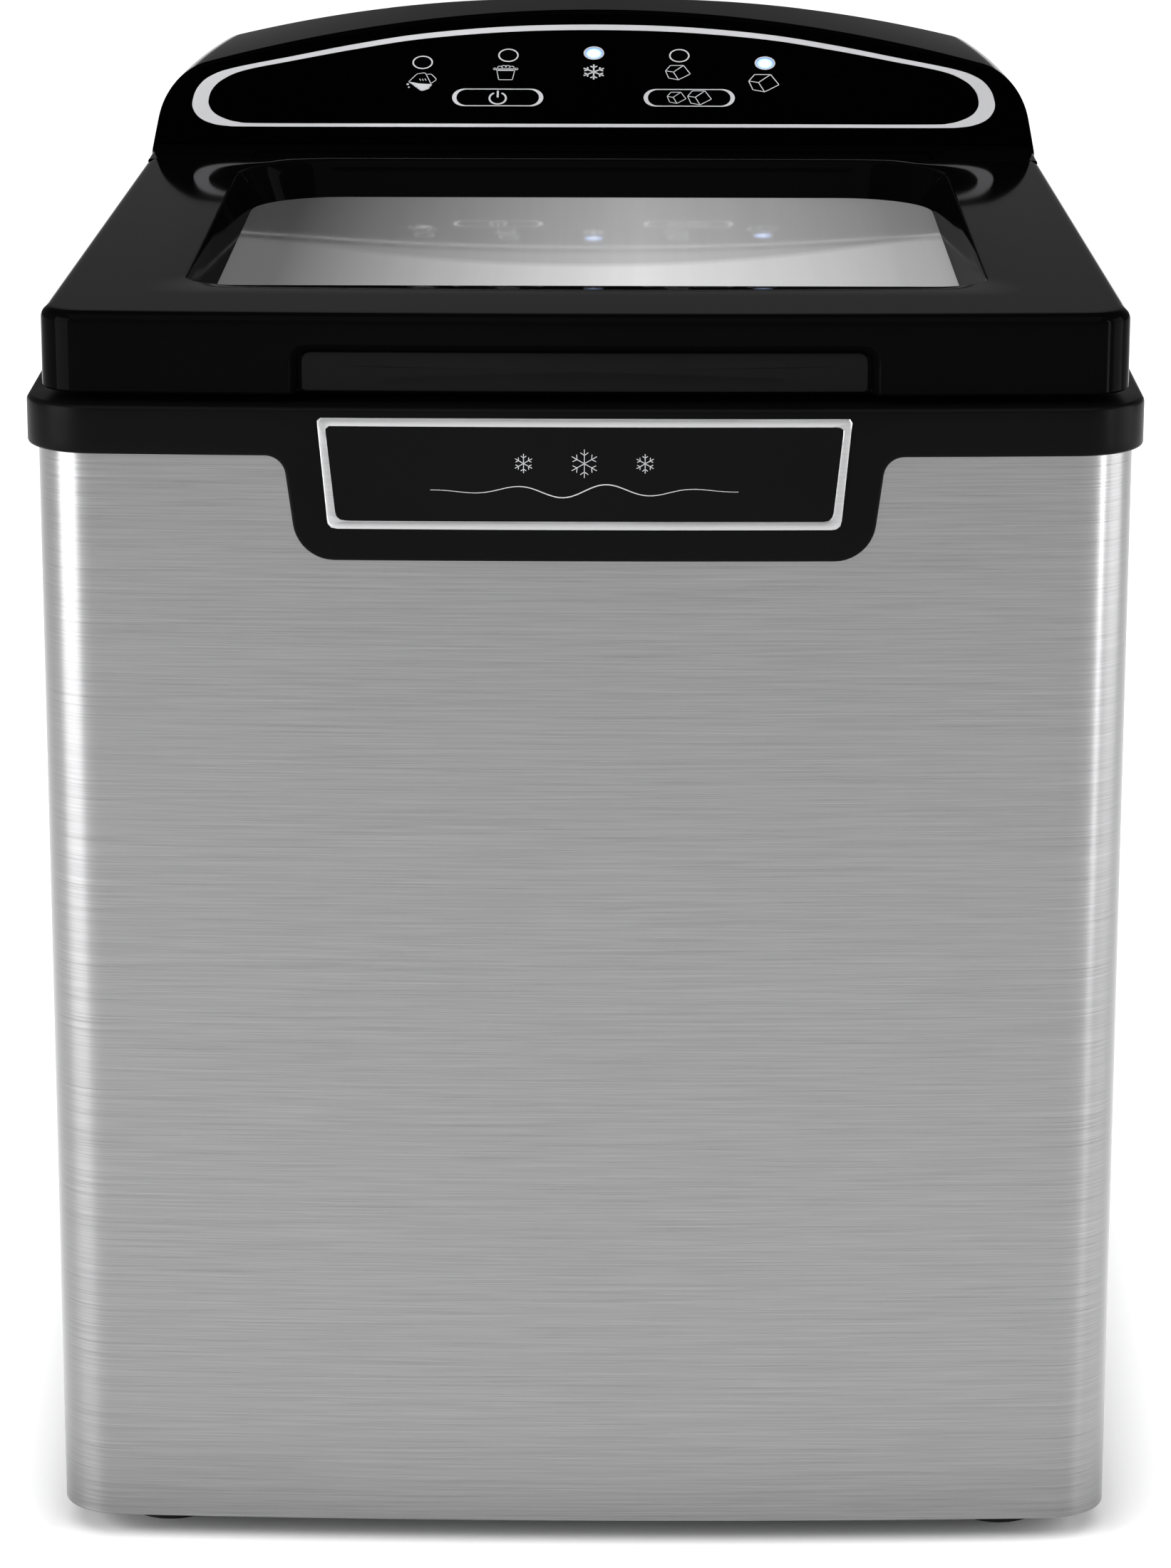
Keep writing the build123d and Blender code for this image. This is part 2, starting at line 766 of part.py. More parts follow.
def capsule(x, grow):
    """Outline of a push button on the slanted face."""
    length = button_length + 2 * grow
    height = button_height + 2 * grow
    return Pos(x, button_row) * SlotOverall(length, height)


def on_face(sketch, top, bottom):
    """Sketch on the slanted face carried between two heights above it."""
    return face_plane * Pos(0, 0, bottom) * extrude(sketch, amount=top - bottom)


def light_places():
    """Centres of the five indicator lights on the slanted face."""
    places = []
    for step in (-2, -1, 0, 1, 2):
        x = step * light_spread
        places.append((x, light_crown - x * x / (2 * light_bow_radius)))
    return places


def make_housing():
    """Moulded housing behind the lid, with the hinge ears."""
    housing = hump_solid(0, rim_top)
    housing -= hump_solid(hump_wall, rim_top - 5)
    pocket = hump_solid(overlay_inset - 0.1, rim_top, 0) & face_slab(overlay_thickness)
    pocket &= block(-rim_half, rim_half, hump_front_y, rear_y, lid_top + 1.2, lid_top + 100)
    housing -= pocket
    for x in (-button_spread, button_spread):
        housing -= on_face(capsule(x, button_gap), 1, -8)
    for x, slope_place in light_places():
        housing -= on_face(Pos(x, slope_place) * Circle(light_diameter / 2 + light_gap), 1, -8)
    for side_sign in (-1, 1):
        x0, x1 = sorted((side_sign * ear_inner, side_sign * ear_outer))
        barrel = rod_x(x0, x1, hinge_y, hinge_z, ear_radius)
        barrel &= block(x0, x1, ear_front_y - 1, hinge_y, rim_top, lid_top)
        ear = barrel + block(x0, x1, hinge_y, hump_front_y + 1, rim_top, lid_top)
        ear += block(x0, x1, hinge_y - 3, hinge_y, rim_top, hinge_z)
        pin0, pin1 = sorted((side_sign * (ear_inner - 1), side_sign * (ear_inner + hinge_pin_grip + 0.2)))
        housing += ear
        housing -= rod_x(pin0, pin1, hinge_y, hinge_z, hinge_pin_diameter / 2 + 0.03)
    return housing


def make_overlay():
    """Glossy control panel let into the slanted face."""
    panel = hump_solid(overlay_inset, rim_top, 0) & face_slab(overlay_thickness)
    panel &= block(-rim_half, rim_half, hump_front_y, rear_y, lid_top + 1.3, lid_top + 100)
    panel -= [on_face(capsule(x, button_gap), 1, -8) for x in (-button_spread, button_spread)]
    lights = []
    for x, slope_place in light_places():
        lights.append(on_face(Pos(x, slope_place) * Circle(light_diameter / 2 + light_gap), 1, -8))
    return panel - lights


def make_button(x):
    """Capsule push button with a stem towards its switch."""
    cap = on_face(capsule(x, 0), button_proud, -button_depth)
    cap = fillet(cap.faces().sort_by(Axis.Z)[-1].edges(), 0.15)
    return cap


def make_light(x, slope_place):
    """Light pipe from the panel surface to the display board."""
    return on_face(Pos(x, slope_place) * Circle(light_diameter / 2), -0.05, -board_depth)


def make_display_board():
    """Circuit board behind the slanted face, on two posts."""
    board = Pos(0, (board_low + board_high) / 2) * Rectangle(2 * board_half, board_high - board_low)
    solid = on_face(board, -board_depth, -board_depth - board_thickness)
    posts = []
    for x in (-board_half + 5, board_half - 5):
        posts.append(on_face(Pos(x, board_low + 4) * Circle(2.5), -hump_wall - 0.05, -board_depth))
    return solid + posts


def make_tact_switches():
    """Tact switches under the two push buttons."""
    switches = []
    for x in (-button_spread, button_spread):
        base = on_face(Pos(x, button_row) * Rectangle(6, 6), -board_depth + 2.6, -board_depth)
        plunger_top = -button_depth - button_travel - 0.1
        base += on_face(Pos(x, button_row) * Circle(1.6), plunger_top, -board_depth + 2.0)
        switches.append(base)
    return group(switches)


def make_display_cable():
    """Flat cable from the display board down to the main board."""
    start = face_plane.location * Pos(0, board_low + 14, -board_depth - board_thickness - 0.5)
    top = start.position
    hole_y = hump_front_y + 27
    low_z = rim_under - 22
    points = [
        (top.Y, top.Z),
        (top.Y + 3, top.Z - 9),
        (hole_y, rim_top + 8),
        (hole_y, rim_under - 8),
        (board_y() + 3.6, low_z + 4),
        (board_y() + 3.6, low_z - 4),
    ]
    line = FilletPolyline(*points, radius=4)
    ribbon = Plane(origin=(cable_x - cable_width / 2, 0, 0), x_dir=(0, 1, 0), z_dir=(1, 0, 0)) * line
    strip = Plane(origin=ribbon @ 0, x_dir=(1, 0, 0), z_dir=ribbon % 0) * Rectangle(cable_width, cable_thickness)
    strip = Pos(cable_width / 2, 0, 0) * strip
    return sweep(strip, path=Pos(cable_width / 2, 0, 0) * ribbon)


def board_y():
    """Front face of the main control board."""
    return bay_front_y + bay_sheet + 7.0


# ---------------------------------------------------------------- ice compartment
def make_liner():
    """Moulded tub with a flange under the rim and ledges for the basket."""
    outer = rounded_box(
        -liner_half - liner_wall,
        liner_half + liner_wall,
        liner_front_y - liner_wall,
        liner_rear_y + liner_wall,
        liner_floor - liner_wall,
        rim_under,
        liner_corner + liner_wall,
    )
    rim_flange = rounded_box(
        -liner_half - liner_flange,
        liner_half + liner_flange,
        liner_front_y - liner_flange,
        liner_rear_y + liner_flange,
        rim_under - liner_wall,
        rim_under,
        liner_corner + liner_flange,
    )
    tub = outer + rim_flange
    tub -= rounded_box(
        -liner_half, liner_half, liner_front_y, liner_rear_y, liner_floor, rim_under + 1, liner_corner
    )
    for side_sign in (-1, 1):
        x0, x1 = sorted((side_sign * (basket_half + 0.8), side_sign * (liner_half + 0.5)))
        tub += block(x0, x1, basket_front_y + 16, basket_rear_y - 4, ledge_top - ledge_height, ledge_top - 0.3)
    tub -= line_holes(liner_rear_y - 1, liner_rear_y + liner_wall + 1)
    tub -= rod(drain_x(), drain_y, liner_floor - liner_wall - 1, liner_floor + 1, drain_bore / 2)
    return tub


def drain_x():
    """Side place of the drain outlet in the tub floor."""
    return -liner_half + 14.0


def line_x():
    """Side places of the refrigerant lines through the rear wall."""
    return (-30.0, 30.0)


def line_height():
    """Height of the refrigerant lines behind the evaporator."""
    return evaporator_z + suction_diameter / 2 - 2.4


def line_holes(y0, y1):
    """Holes for the refrigerant lines."""
    holes = []
    for x in line_x():
        holes.append(rod_y(x, y0, y1, line_height(), suction_diameter / 2 + 0.3))
    return holes


def make_insulation():
    """Foam jacket round the tub."""
    half = inner_half - foam_gap
    y0 = inner_front_y + foam_gap
    z0 = base_top + foam_floor
    jacket = prism(
        plan_face(half - base_wall, y0 + base_wall, bay_front_y - foam_gap, wrap_corner, 2.0),
        z0,
        rim_under - liner_wall - foam_gap,
    )
    jacket -= rounded_box(
        -liner_half - liner_wall - foam_gap,
        liner_half + liner_wall + foam_gap,
        liner_front_y - liner_wall - foam_gap,
        liner_rear_y + liner_wall + foam_gap,
        liner_floor - liner_wall - foam_gap,
        rim_top,
        liner_corner + liner_wall,
    )
    jacket -= line_holes(liner_rear_y, bay_front_y + 1)
    jacket -= block(
        -rim_half, drain_x() + 10, drain_y - 9, drain_y + 9, z0 - 1, liner_floor + 1
    )
    return jacket


def make_basket():
    """Lift-out ice basket with drainage slots and a rim that sits on the ledges."""
    outer = rounded_box(
        -basket_half, basket_half, basket_front_y, basket_rear_y, basket_bottom, basket_top, basket_corner
    )
    rim = rounded_box(
        -basket_half - basket_flange,
        basket_half + basket_flange,
        basket_front_y,
        basket_rear_y,
        ledge_top,
        basket_top,
        basket_corner,
    )
    tub = outer + rim
    tub -= rounded_box(
        -basket_half + basket_wall,
        basket_half - basket_wall,
        basket_front_y + basket_wall,
        basket_rear_y - basket_wall,
        basket_bottom + basket_wall,
        basket_top + 1,
        basket_corner - basket_wall,
    )
    slots = []
    middle_y = (basket_front_y + basket_rear_y) / 2
    span = basket_rear_y - basket_front_y
    for i in range(-6, 7):
        slots.append(Pos(i * 12, middle_y, basket_bottom) * Box(basket_slot, span - 36, 8))
    for i in range(-5, 6):
        slots.append(Pos(i * 14, middle_y, basket_bottom + 34) * Box(basket_slot, span + 20, 40))
    for i in range(-3, 4):
        slots.append(Pos(0, middle_y + i * 11, basket_bottom + 34) * Box(2 * basket_half + 1, basket_slot, 40))
    return tub - slots


def make_grid():
    """Slatted floor under the tray that leads ice forward into the basket."""
    half = liner_half - 0.3
    low_z = pivot_z - grid_radius
    flat = slab_x(
        [
            (grid_front_y, low_z - grid_slope),
            (pivot_y, low_z),
            (pivot_y, low_z - grid_sheet),
            (grid_front_y, low_z - grid_slope - grid_sheet),
        ],
        -half,
        half,
    )
    ring = rod_x(-half, half, pivot_y, pivot_z, grid_radius + grid_sheet)
    ring -= rod_x(-half - 1, half + 1, pivot_y, pivot_z, grid_radius)
    ring &= block(-half, half, pivot_y - 0.01, liner_rear_y - 0.3, low_z - grid_sheet - 1, pivot_z - 40)
    grid = (flat + ring) & rounded_box(
        -half,
        half,
        liner_front_y,
        liner_rear_y - 0.3,
        liner_floor,
        rim_top,
        liner_corner,
    )
    slots = []
    middle_y = (grid_front_y + liner_rear_y) / 2
    span = liner_rear_y - grid_front_y
    for i in range(-8, 9):
        slots.append(Pos(i * 10, middle_y, low_z) * Box(grid_slot, span - 14, 60))
    grid -= slots
    grid -= rod(hose_x(), hose_y(), low_z - 20, low_z + 60, hose_diameter / 2 + 0.4)
    return grid


def hose_x():
    """Side place of the rising water hose."""
    return tray_outer + 12.0


def hose_y():
    """Depth place of the rising water hose."""
    return pivot_y + 19.0


def finger_places():
    """Centres of the nine freezing fingers: five behind, four in front."""
    places = [(i * finger_pitch, finger_rear_y) for i in (-2, -1, 0, 1, 2)]
    places += [((i + 0.5) * finger_pitch, finger_front_y) for i in (-2, -1, 0, 1)]
    return places


def make_evaporator():
    """Brazed plate that carries the refrigerant and the fingers."""
    half = 2 * finger_pitch + finger_diameter
    y0 = finger_front_y - 10
    y1 = finger_rear_y + 8
    plate = rounded_box(-half, half, y0, y1, evaporator_z, evaporator_z + evaporator_plate_height, 6)
    return chamfer(plate.faces().sort_by(Axis.Z)[-1].edges(), 1.0)


def make_fingers():
    """Nickel-plated freezing fingers with round tips."""
    fingers = []
    radius = finger_diameter / 2
    for x, y in finger_places():
        low = evaporator_z - finger_length
        finger = rod(x, y, low + radius, evaporator_z, radius) + Pos(x, y, low + radius) * Sphere(radius)
        fingers.append(finger)
    return group(fingers)


def make_evaporator_bracket():
    """Plastic shelf from the rear wall that hangs the evaporator."""
    half = 2 * finger_pitch + finger_diameter + 8
    top = evaporator_z + evaporator_plate_height
    y0 = finger_front_y - 12
    y1 = liner_rear_y - 0.3
    shelf = rounded_box(-half, half, y0, y1, top, top + 3, 4)
    flange = block(-half, half, y1 - 3, y1, top - 16, top + 3)
    flange -= line_holes(y1 - 4, y1 + 1)
    return shelf + flange


def make_tray():
    """Tilting water tray with an ear for the shaft at each end."""
    x = tray_outer
    y0 = pivot_y - tray_front_reach - tray_wall
    y1 = pivot_y - tray_rear_reach + tray_wall
    z0 = pivot_z - tray_drop - tray_wall
    z1 = pivot_z + tray_rise
    tray = block(-x, x, y0, y1, z0, z1)
    tray = fillet(tray.edges().filter_by(Axis.Z), 3.0)
    tray -= rounded_box(
        -tray_half,
        tray_half,
        y0 + tray_wall,
        y1 - tray_wall,
        z0 + tray_wall,
        z1 + 1,
        2.0,
    )
    for x0, x1 in ((-x, -tray_half), (tray_half, x)):
        ear = rod_x(x0, x1, pivot_y, pivot_z, shaft_ear)
        ear += block(x0, x1, y1 - 8, pivot_y, pivot_z - shaft_ear, pivot_z + tray_rise)
        tray += ear
    tray -= rod_x(-x - 1, x + 1, pivot_y, pivot_z, shaft_diameter / 2 - 1.0)
    return tray


def make_shovel():
    """Comb under the tray's front edge that sweeps ice off the slats."""
    y0 = pivot_y - tray_front_reach - tray_wall + 3
    z1 = pivot_z - tray_drop - tray_wall
    blade = block(-tray_half + 4, tray_half - 4, y0, y0 + 14, z1 - 2.0, z1)
    notches = [Pos(i * 10, y0, z1 - 1) * Box(5, 8, 4) for i in range(-6, 7)]
    return blade - notches


def make_shafts():
    """Stub shafts fixed to the tray's ends."""
    stubs = []
    for side_sign in (-1, 1):
        x0, x1 = sorted((side_sign * tray_outer, side_sign * (tray_outer + shaft_stub + motor_gap)))
        stub = rod_x(x0, x1, pivot_y, pivot_z, shaft_diameter / 2)
        t0, t1 = sorted((side_sign * (tray_half - 0.5), side_sign * tray_outer))
        stub += rod_x(t0, t1, pivot_y, pivot_z, shaft_diameter / 2 - 1.05)
        stubs.append(stub)
    return group(stubs)


def make_motor():
    """Geared tray motor on the left wall."""
    x0 = -liner_half + 0.3
    x1 = -tray_outer - motor_gap
    half = motor_size / 2
    body = block(x0, x1, pivot_y - half, pivot_y + half, pivot_z - half, pivot_z + half)
    body = fillet(body.edges().filter_by(Axis.X), 5.0)
    body -= rod_x(x1 - shaft_stub - 0.5, x1 + 1, pivot_y, pivot_z, shaft_diameter / 2 + shaft_running_gap)
    return body


def make_bush():
    """Bearing boss for the right-hand stub shaft."""
    x0 = tray_outer + motor_gap
    x1 = liner_half - 0.3
    boss = rod_x(x0, x1, pivot_y, pivot_z, bush_outer / 2) + rod_x(x1 - 3, x1, pivot_y, pivot_z, bush_outer / 2 + 4)
    return boss - rod_x(x0 - 1, x0 + shaft_stub + 0.5, pivot_y, pivot_z, shaft_diameter / 2 + shaft_running_gap)


def make_tray_switches():
    """Two position switches in front of the motor."""
    x0 = -liner_half + 0.3
    y1 = pivot_y - motor_size / 2 - 0.3
    switches = []
    for z in (pivot_z + 8, pivot_z - 8):
        body = block(x0, x0 + 7, y1 - 13, y1, z - 5, z + 5)
        body += block(x0 + 3, x0 + 5, y1 - 11, y1 - 3, z + 5, z + 6.5)
        switches.append(body)
    return group(switches)


def make_ice_sensors():
    """Light-gate pods that see when the basket is full."""
    pods = []
    for side_sign in (-1, 1):
        x0, x1 = sorted((side_sign * (liner_half - 3.8), side_sign * (liner_half - 0.3)))
        y = (basket_front_y + basket_rear_y) / 2 + 20
        pods.append(fillet(block(x0, x1, y - 7, y + 7, basket_top + 12, basket_top + 26).edges().filter_by(Axis.X), 2))
    return group(pods)


def make_pump():
    """Submersible water pump on the tub floor."""
    x = 56.0
    y = pivot_y + 8
    body = rod(x, y, liner_floor + 0.1, liner_floor + pump_height, pump_diameter / 2)
    body = fillet(body.faces().sort_by(Axis.Z)[-1].edges(), 4)
    outlet = rod_x(x + 8, hose_x() - 8, y, liner_floor + 12, 3.0)
    return body + outlet


def make_hose():
    """Soft hose from the pump outlet up to the spout over the tray."""
    y = pivot_y + 8
    z0 = liner_floor + 12
    z1 = pivot_z + hose_crossing
    points = [
        (hose_x() - 8, y, z0),
        (hose_x(), y, z0),
        (hose_x(), y, z0 + 16),
        (hose_x(), hose_y(), z0 + 34),
        (hose_x(), hose_y(), z1),
        (hose_x(), pivot_y - 14, z1),
        (tray_half - 1, pivot_y - 14, z1),
    ]
    return pipe(points, hose_diameter, 5.0)


def make_spout():
    """Nozzle that lets water down into the tray."""
    x = tray_half - 4.5
    y = pivot_y - 14
    z = pivot_z + hose_crossing
    barrel = rod_x(x - 3, tray_half - 1, y, z, hose_diameter / 2)
    return barrel + rod(x - 0.5, y, pivot_z + tray_rise + 2.5, z, 2.5)


def make_drain_port():
    """Elbow from the tub floor to the side of the casing."""
    radius = drain_bore / 2
    outer = radius + drain_wall
    x_end = -wrap_half + wrap_sheet + seat_gap
    down = rod(drain_x(), drain_y, drain_height, liner_floor - liner_wall, outer)
    across = rod_x(x_end, drain_x(), drain_y, drain_height, outer)
    elbow = down + across + Pos(drain_x(), drain_y, drain_height) * Sphere(outer)
    elbow -= rod(drain_x(), drain_y, drain_height, liner_floor, radius)
    elbow -= rod_x(x_end - 1, drain_x(), drain_y, drain_height, radius)
    floor = base_top + 0.1
    elbow -= block(-rim_half, 0, drain_y - 20, drain_y + 20, 0, floor)
    return elbow - Pos(drain_x(), drain_y, drain_height) * Sphere(radius)


def make_drain_plug():
    """Rubber plug with a flat head outside the casing."""
    x_face = -wrap_half - 0.3
    head = rod_x(x_face - plug_head_height, x_face, drain_y, drain_height, plug_head / 2)
    head = fillet(head.faces().sort_by(Axis.X)[0].edges(), 0.8)
    return head + rod_x(x_face, x_face + plug_length, drain_y, drain_height, plug_diameter / 2)


# ---------------------------------------------------------------- cooling bay
def make_divider():
    """Sheet wall between the foam and the cooling bay."""
    half = inner_half - base_wall - seat_gap
    wall = block(-half, half, bay_front_y, bay_front_y + bay_sheet, base_top, rim_under)
    for x in line_x():
        wall -= rod_y(x, bay_front_y - 1, bay_front_y + 3, line_height(), suction_diameter / 2 + 1)
    return wall


def grommet_places():
    """Centres of the compressor's rubber mounts."""
    return [(compressor_x + sx * 44, compressor_y + sy * 34) for sx in (-1, 1) for sy in (-1, 1)]


def make_compressor():
    """Hermetic can on a foot plate, with its tube stubs."""
    top = compressor_bottom + compressor_height
    can = rod(compressor_x, compressor_y, compressor_bottom, top, compressor_diameter / 2)
    can = fillet(can.faces().sort_by(Axis.Z)[-1].edges(), compressor_round)
    can = fillet(can.faces().sort_by(Axis.Z)[0].edges(), compressor_round / 2)
    z0 = base_top + grommet_height
    plate = rounded_box(
        compressor_x - 52, compressor_x + 52, compressor_y - 41, compressor_y + 41, z0, compressor_bottom + 1, 8
    )
    for x, y in grommet_places():
        plate -= rod(x, y, z0 - 1, z0 + 10, bolt_diameter / 2 + bolt_gap)
    seam_z = compressor_bottom + compressor_height * 0.55
    seam = rod(compressor_x, compressor_y, seam_z, seam_z + 3, compressor_diameter / 2 + 2)
    return can + plate + seam


def make_grommets():
    """Rubber mounts under the compressor foot."""
    mounts = []
    for x, y in grommet_places():
        mount = rod(x, y, base_top, base_top + grommet_height, grommet_diameter / 2)
        mount -= rod(x, y, base_top - 1, base_top + grommet_height + 1, bolt_diameter / 2 + bolt_gap)
        mounts.append(mount)
    return group(mounts)


def make_bolts():
    """Hexagon bolts that hold the compressor down."""
    bolts = []
    z1 = compressor_bottom + 1
    for x, y in grommet_places():
        bolt = rod(x, y, base_z + 0.5, z1, bolt_diameter / 2)
        bolt += Pos(x, y, z1) * extrude(RegularPolygon(5.0, 6), amount=4)
        bolts.append(bolt)
    return group(bolts)


def make_terminal_cover():
    """Plastic cover over the compressor's terminals."""
    x0 = compressor_x + compressor_diameter / 2 - 6
    cover = block(x0, x0 + 20, compressor_y - 14, compressor_y + 14, compressor_bottom + 22, compressor_bottom + 56)
    cover = fillet(cover.edges().filter_by(Axis.X), 3)
    return cover - rod(compressor_x, compressor_y, 0, rim_top, compressor_diameter / 2 + 0.2)


def condenser_heights():
    """Heights of the condenser tube rows."""
    pitch = condenser_height / condenser_rows
    return [base_top + pitch * (i + 0.5) for i in range(condenser_rows)]


def make_fins():
    """Aluminium condenser fins."""
    sheet = Pos(condenser_x, base_top + 0.2 + condenser_height / 2) * Rectangle(fin_width, condenser_height)
    for z in condenser_heights():
        sheet -= Pos(condenser_x, z) * Circle(condenser_tube / 2 + tube_gap)
    fins = []
    for i in range(fin_count):
        y = fin_front_y + i * fin_pitch
        plane = Plane(origin=(0, y, 0), x_dir=(1, 0, 0), z_dir=(0, -1, 0))
        fins.append(extrude(plane * sheet, amount=-fin_thickness))
    return group(fins)


def make_condenser_tubes():
    """Serpentine condenser tube through the fins."""
    y0 = fin_front_y - 1.0
    y1 = fin_front_y + fin_pitch * (fin_count - 1) + 2.0
    heights = condenser_heights()
    radius = (heights[1] - heights[0]) / 2
    points = [(condenser_x, y0 - radius + 3, heights[-1])]
    for i, z in enumerate(reversed(heights)):
        far = y1 + radius - 0.2 if i % 2 == 0 else y0 - radius + 0.2
        last = i == len(heights) - 1
        points.append((condenser_x, y1 + 6 if last else far, z))
        if not last:
            points.append((condenser_x, far, z - 2 * radius))
    return pipe(points, condenser_tube, radius - 0.1)


def make_shroud():
    """Square fan frame with three motor struts, standing on the base."""
    half = fan_frame / 2
    frame = block(fan_left, fan_right, fan_y - half, fan_y + half, base_top, fan_z + half + 8)
    frame = fillet(frame.edges().filter_by(Axis.X), 3)
    frame -= rod_x(fan_left - 1, fan_right + 1, fan_y, fan_z, fan_opening / 2)
    struts = []
    for angle in (90, 210, 330):
        strut = Box(3, fan_opening / 2 - 10, 5)
        strut = Pos(fan_left + 1.5, 0, 0) * Pos(0, (fan_opening / 2 + 10) / 2, 0) * strut
        struts.append(Pos(0, fan_y, fan_z) * Rot(angle, 0, 0) * strut)
    ring = rod_x(fan_left, fan_left + 3, fan_y, fan_z, 16)
    return frame + struts + ring


def make_fan_motor():
    """Fan motor can and shaft on the struts."""
    can = rod_x(fan_left + 3, fan_left + 13, fan_y, fan_z, 12)
    can = fillet(can.faces().sort_by(Axis.X)[-1].edges(), 2)
    return can + rod_x(fan_left + 12, fan_left + 20, fan_y, fan_z, 1.5)


def make_fan_blades():
    """Seven-bladed impeller on the motor shaft."""
    x0 = fan_left + 13.6
    x1 = fan_right - 1.5
    hub = rod_x(x0, x1, fan_y, fan_z, fan_hub / 2)
    blades = []
    for i in range(fan_blade_count):
        blade = Pos(0, (fan_hub / 2 + fan_diameter / 2) / 2 - 0.5, 0) * Box(1.4, fan_diameter / 2 - fan_hub / 2 + 1, 17)
        blade = Pos((x0 + x1) / 2, 0, 0) * Rot(0, 62, 0) * blade
        blade &= rod_x(x0, x1, 0, 0, fan_diameter / 2)
        blades.append(Pos(0, fan_y, fan_z) * Rot(i * 360 / fan_blade_count, 0, 0) * blade)
    fan = hub + blades
    return fan - rod_x(x0 - 1, fan_left + 20.5, fan_y, fan_z, 1.5 + 0.06)


def drier_place():
    """Side and depth place of the filter drier."""
    return (30.0, wrap_rear_y - 10.0)


def make_drier():
    """Copper filter drier with necked ends."""
    x, y = drier_place()
    z0 = base_top + 50
    body = rod(x, y, z0, z0 + drier_length, drier_diameter / 2)
    return fillet(body.edges().filter_by(GeomType.CIRCLE), 4.5)


def valve_box():
    """Corners of the hot-gas valve body."""
    z0 = compressor_bottom + compressor_height + 14
    return (8.0, 32.0, compressor_y - 10, compressor_y + 10, z0, z0 + 16)


def make_valve():
    """Hot-gas solenoid valve: block and coil."""
    x0, x1, y0, y1, z0, z1 = valve_box()
    body = block(x0, x1, y0, y1, z0, z1)
    body = fillet(body.edges().filter_by(Axis.Z), 3)
    coil = rod((x0 + x1) / 2, (y0 + y1) / 2, z1, z1 + 18, 11)
    return body + fillet(coil.faces().sort_by(Axis.Z)[-1].edges(), 2)


def make_lines():
    """Refrigerant lines between compressor, valve, condenser, drier and evaporator."""
    x0, x1, y0, y1, z0, z1 = valve_box()
    valve_y = (y0 + y1) / 2
    valve_z = z0 + 8
    can_top = compressor_bottom + compressor_height
    line_z = line_height()
    discharge_x = compressor_x + 18
    discharge = pipe(
        [(discharge_x, valve_y, can_top), (discharge_x, valve_y, valve_z), (x0, valve_y, valve_z)], line_diameter, 8
    )
    heights = condenser_heights()
    inlet_y = fin_front_y - 1.0 - (heights[1] - heights[0]) / 2 + 3
    hot = pipe(
        [
            (x1, valve_y, valve_z),
            (condenser_x, valve_y, valve_z),
            (condenser_x, inlet_y, valve_z),
            (condenser_x, inlet_y, heights[-1] + condenser_tube / 2 + 0.1),
        ],
        line_diameter,
        6,
    )
    drier_x, drier_y = drier_place()
    outlet_y = fin_front_y + fin_pitch * (fin_count - 1) + 8.0
    drier_low = base_top + 50
    liquid = pipe(
        [
            (condenser_x, outlet_y, heights[0]),
            (condenser_x, drier_y, heights[0]),
            (drier_x, drier_y, heights[0]),
            (drier_x, drier_y, drier_low),
        ],
        line_diameter,
        3.5,
    )
    plate_rear_y = finger_rear_y + 8
    capillary_x = line_x()[1]
    capillary = pipe(
        [
            (drier_x, drier_y, drier_low + drier_length),
            (drier_x, drier_y, line_z),
            (capillary_x, plate_rear_y, line_z),
        ],
        3.0,
        10,
    )
    suction_x = line_x()[0]
    suction = pipe(
        [
            (suction_x - 36, compressor_y, can_top),
            (suction_x - 36, compressor_y, line_z),
            (suction_x, compressor_y, line_z),
            (suction_x, plate_rear_y, line_z),
        ],
        suction_diameter - 0.4,
        12,
    )
    return group([discharge, hot, liquid, capillary, suction])


def make_main_board():
    """Main control board on spacers, with relays, transformer and terminals."""
    y0 = board_y()
    x1 = -40.0
    x0 = x1 - 68.0
    z1 = rim_under - 16
    z0 = z1 - 70
    pieces = [block(x0, x1, y0, y0 + 1.6, z0, z1)]
    for x in (x0 + 4, x1 - 4):
        for z in (z0 + 4, z1 - 4):
            pieces[0] += rod_y(x, bay_front_y + bay_sheet, y0, z, 2.5)
    face = y0 + 1.6
    pieces[0] += block(x0 + 6, x0 + 34, face, face + 22, z0 + 8, z0 + 34)
    pieces[0] += block(x0 + 40, x0 + 56, face, face + 14, z0 + 8, z0 + 28)
    pieces[0] += block(x0 + 40, x0 + 56, face, face + 14, z0 + 34, z0 + 48)
    pieces[0] += rod_y(x0 + 14, face, face + 18, z0 + 50, 6)
    return pieces[0]


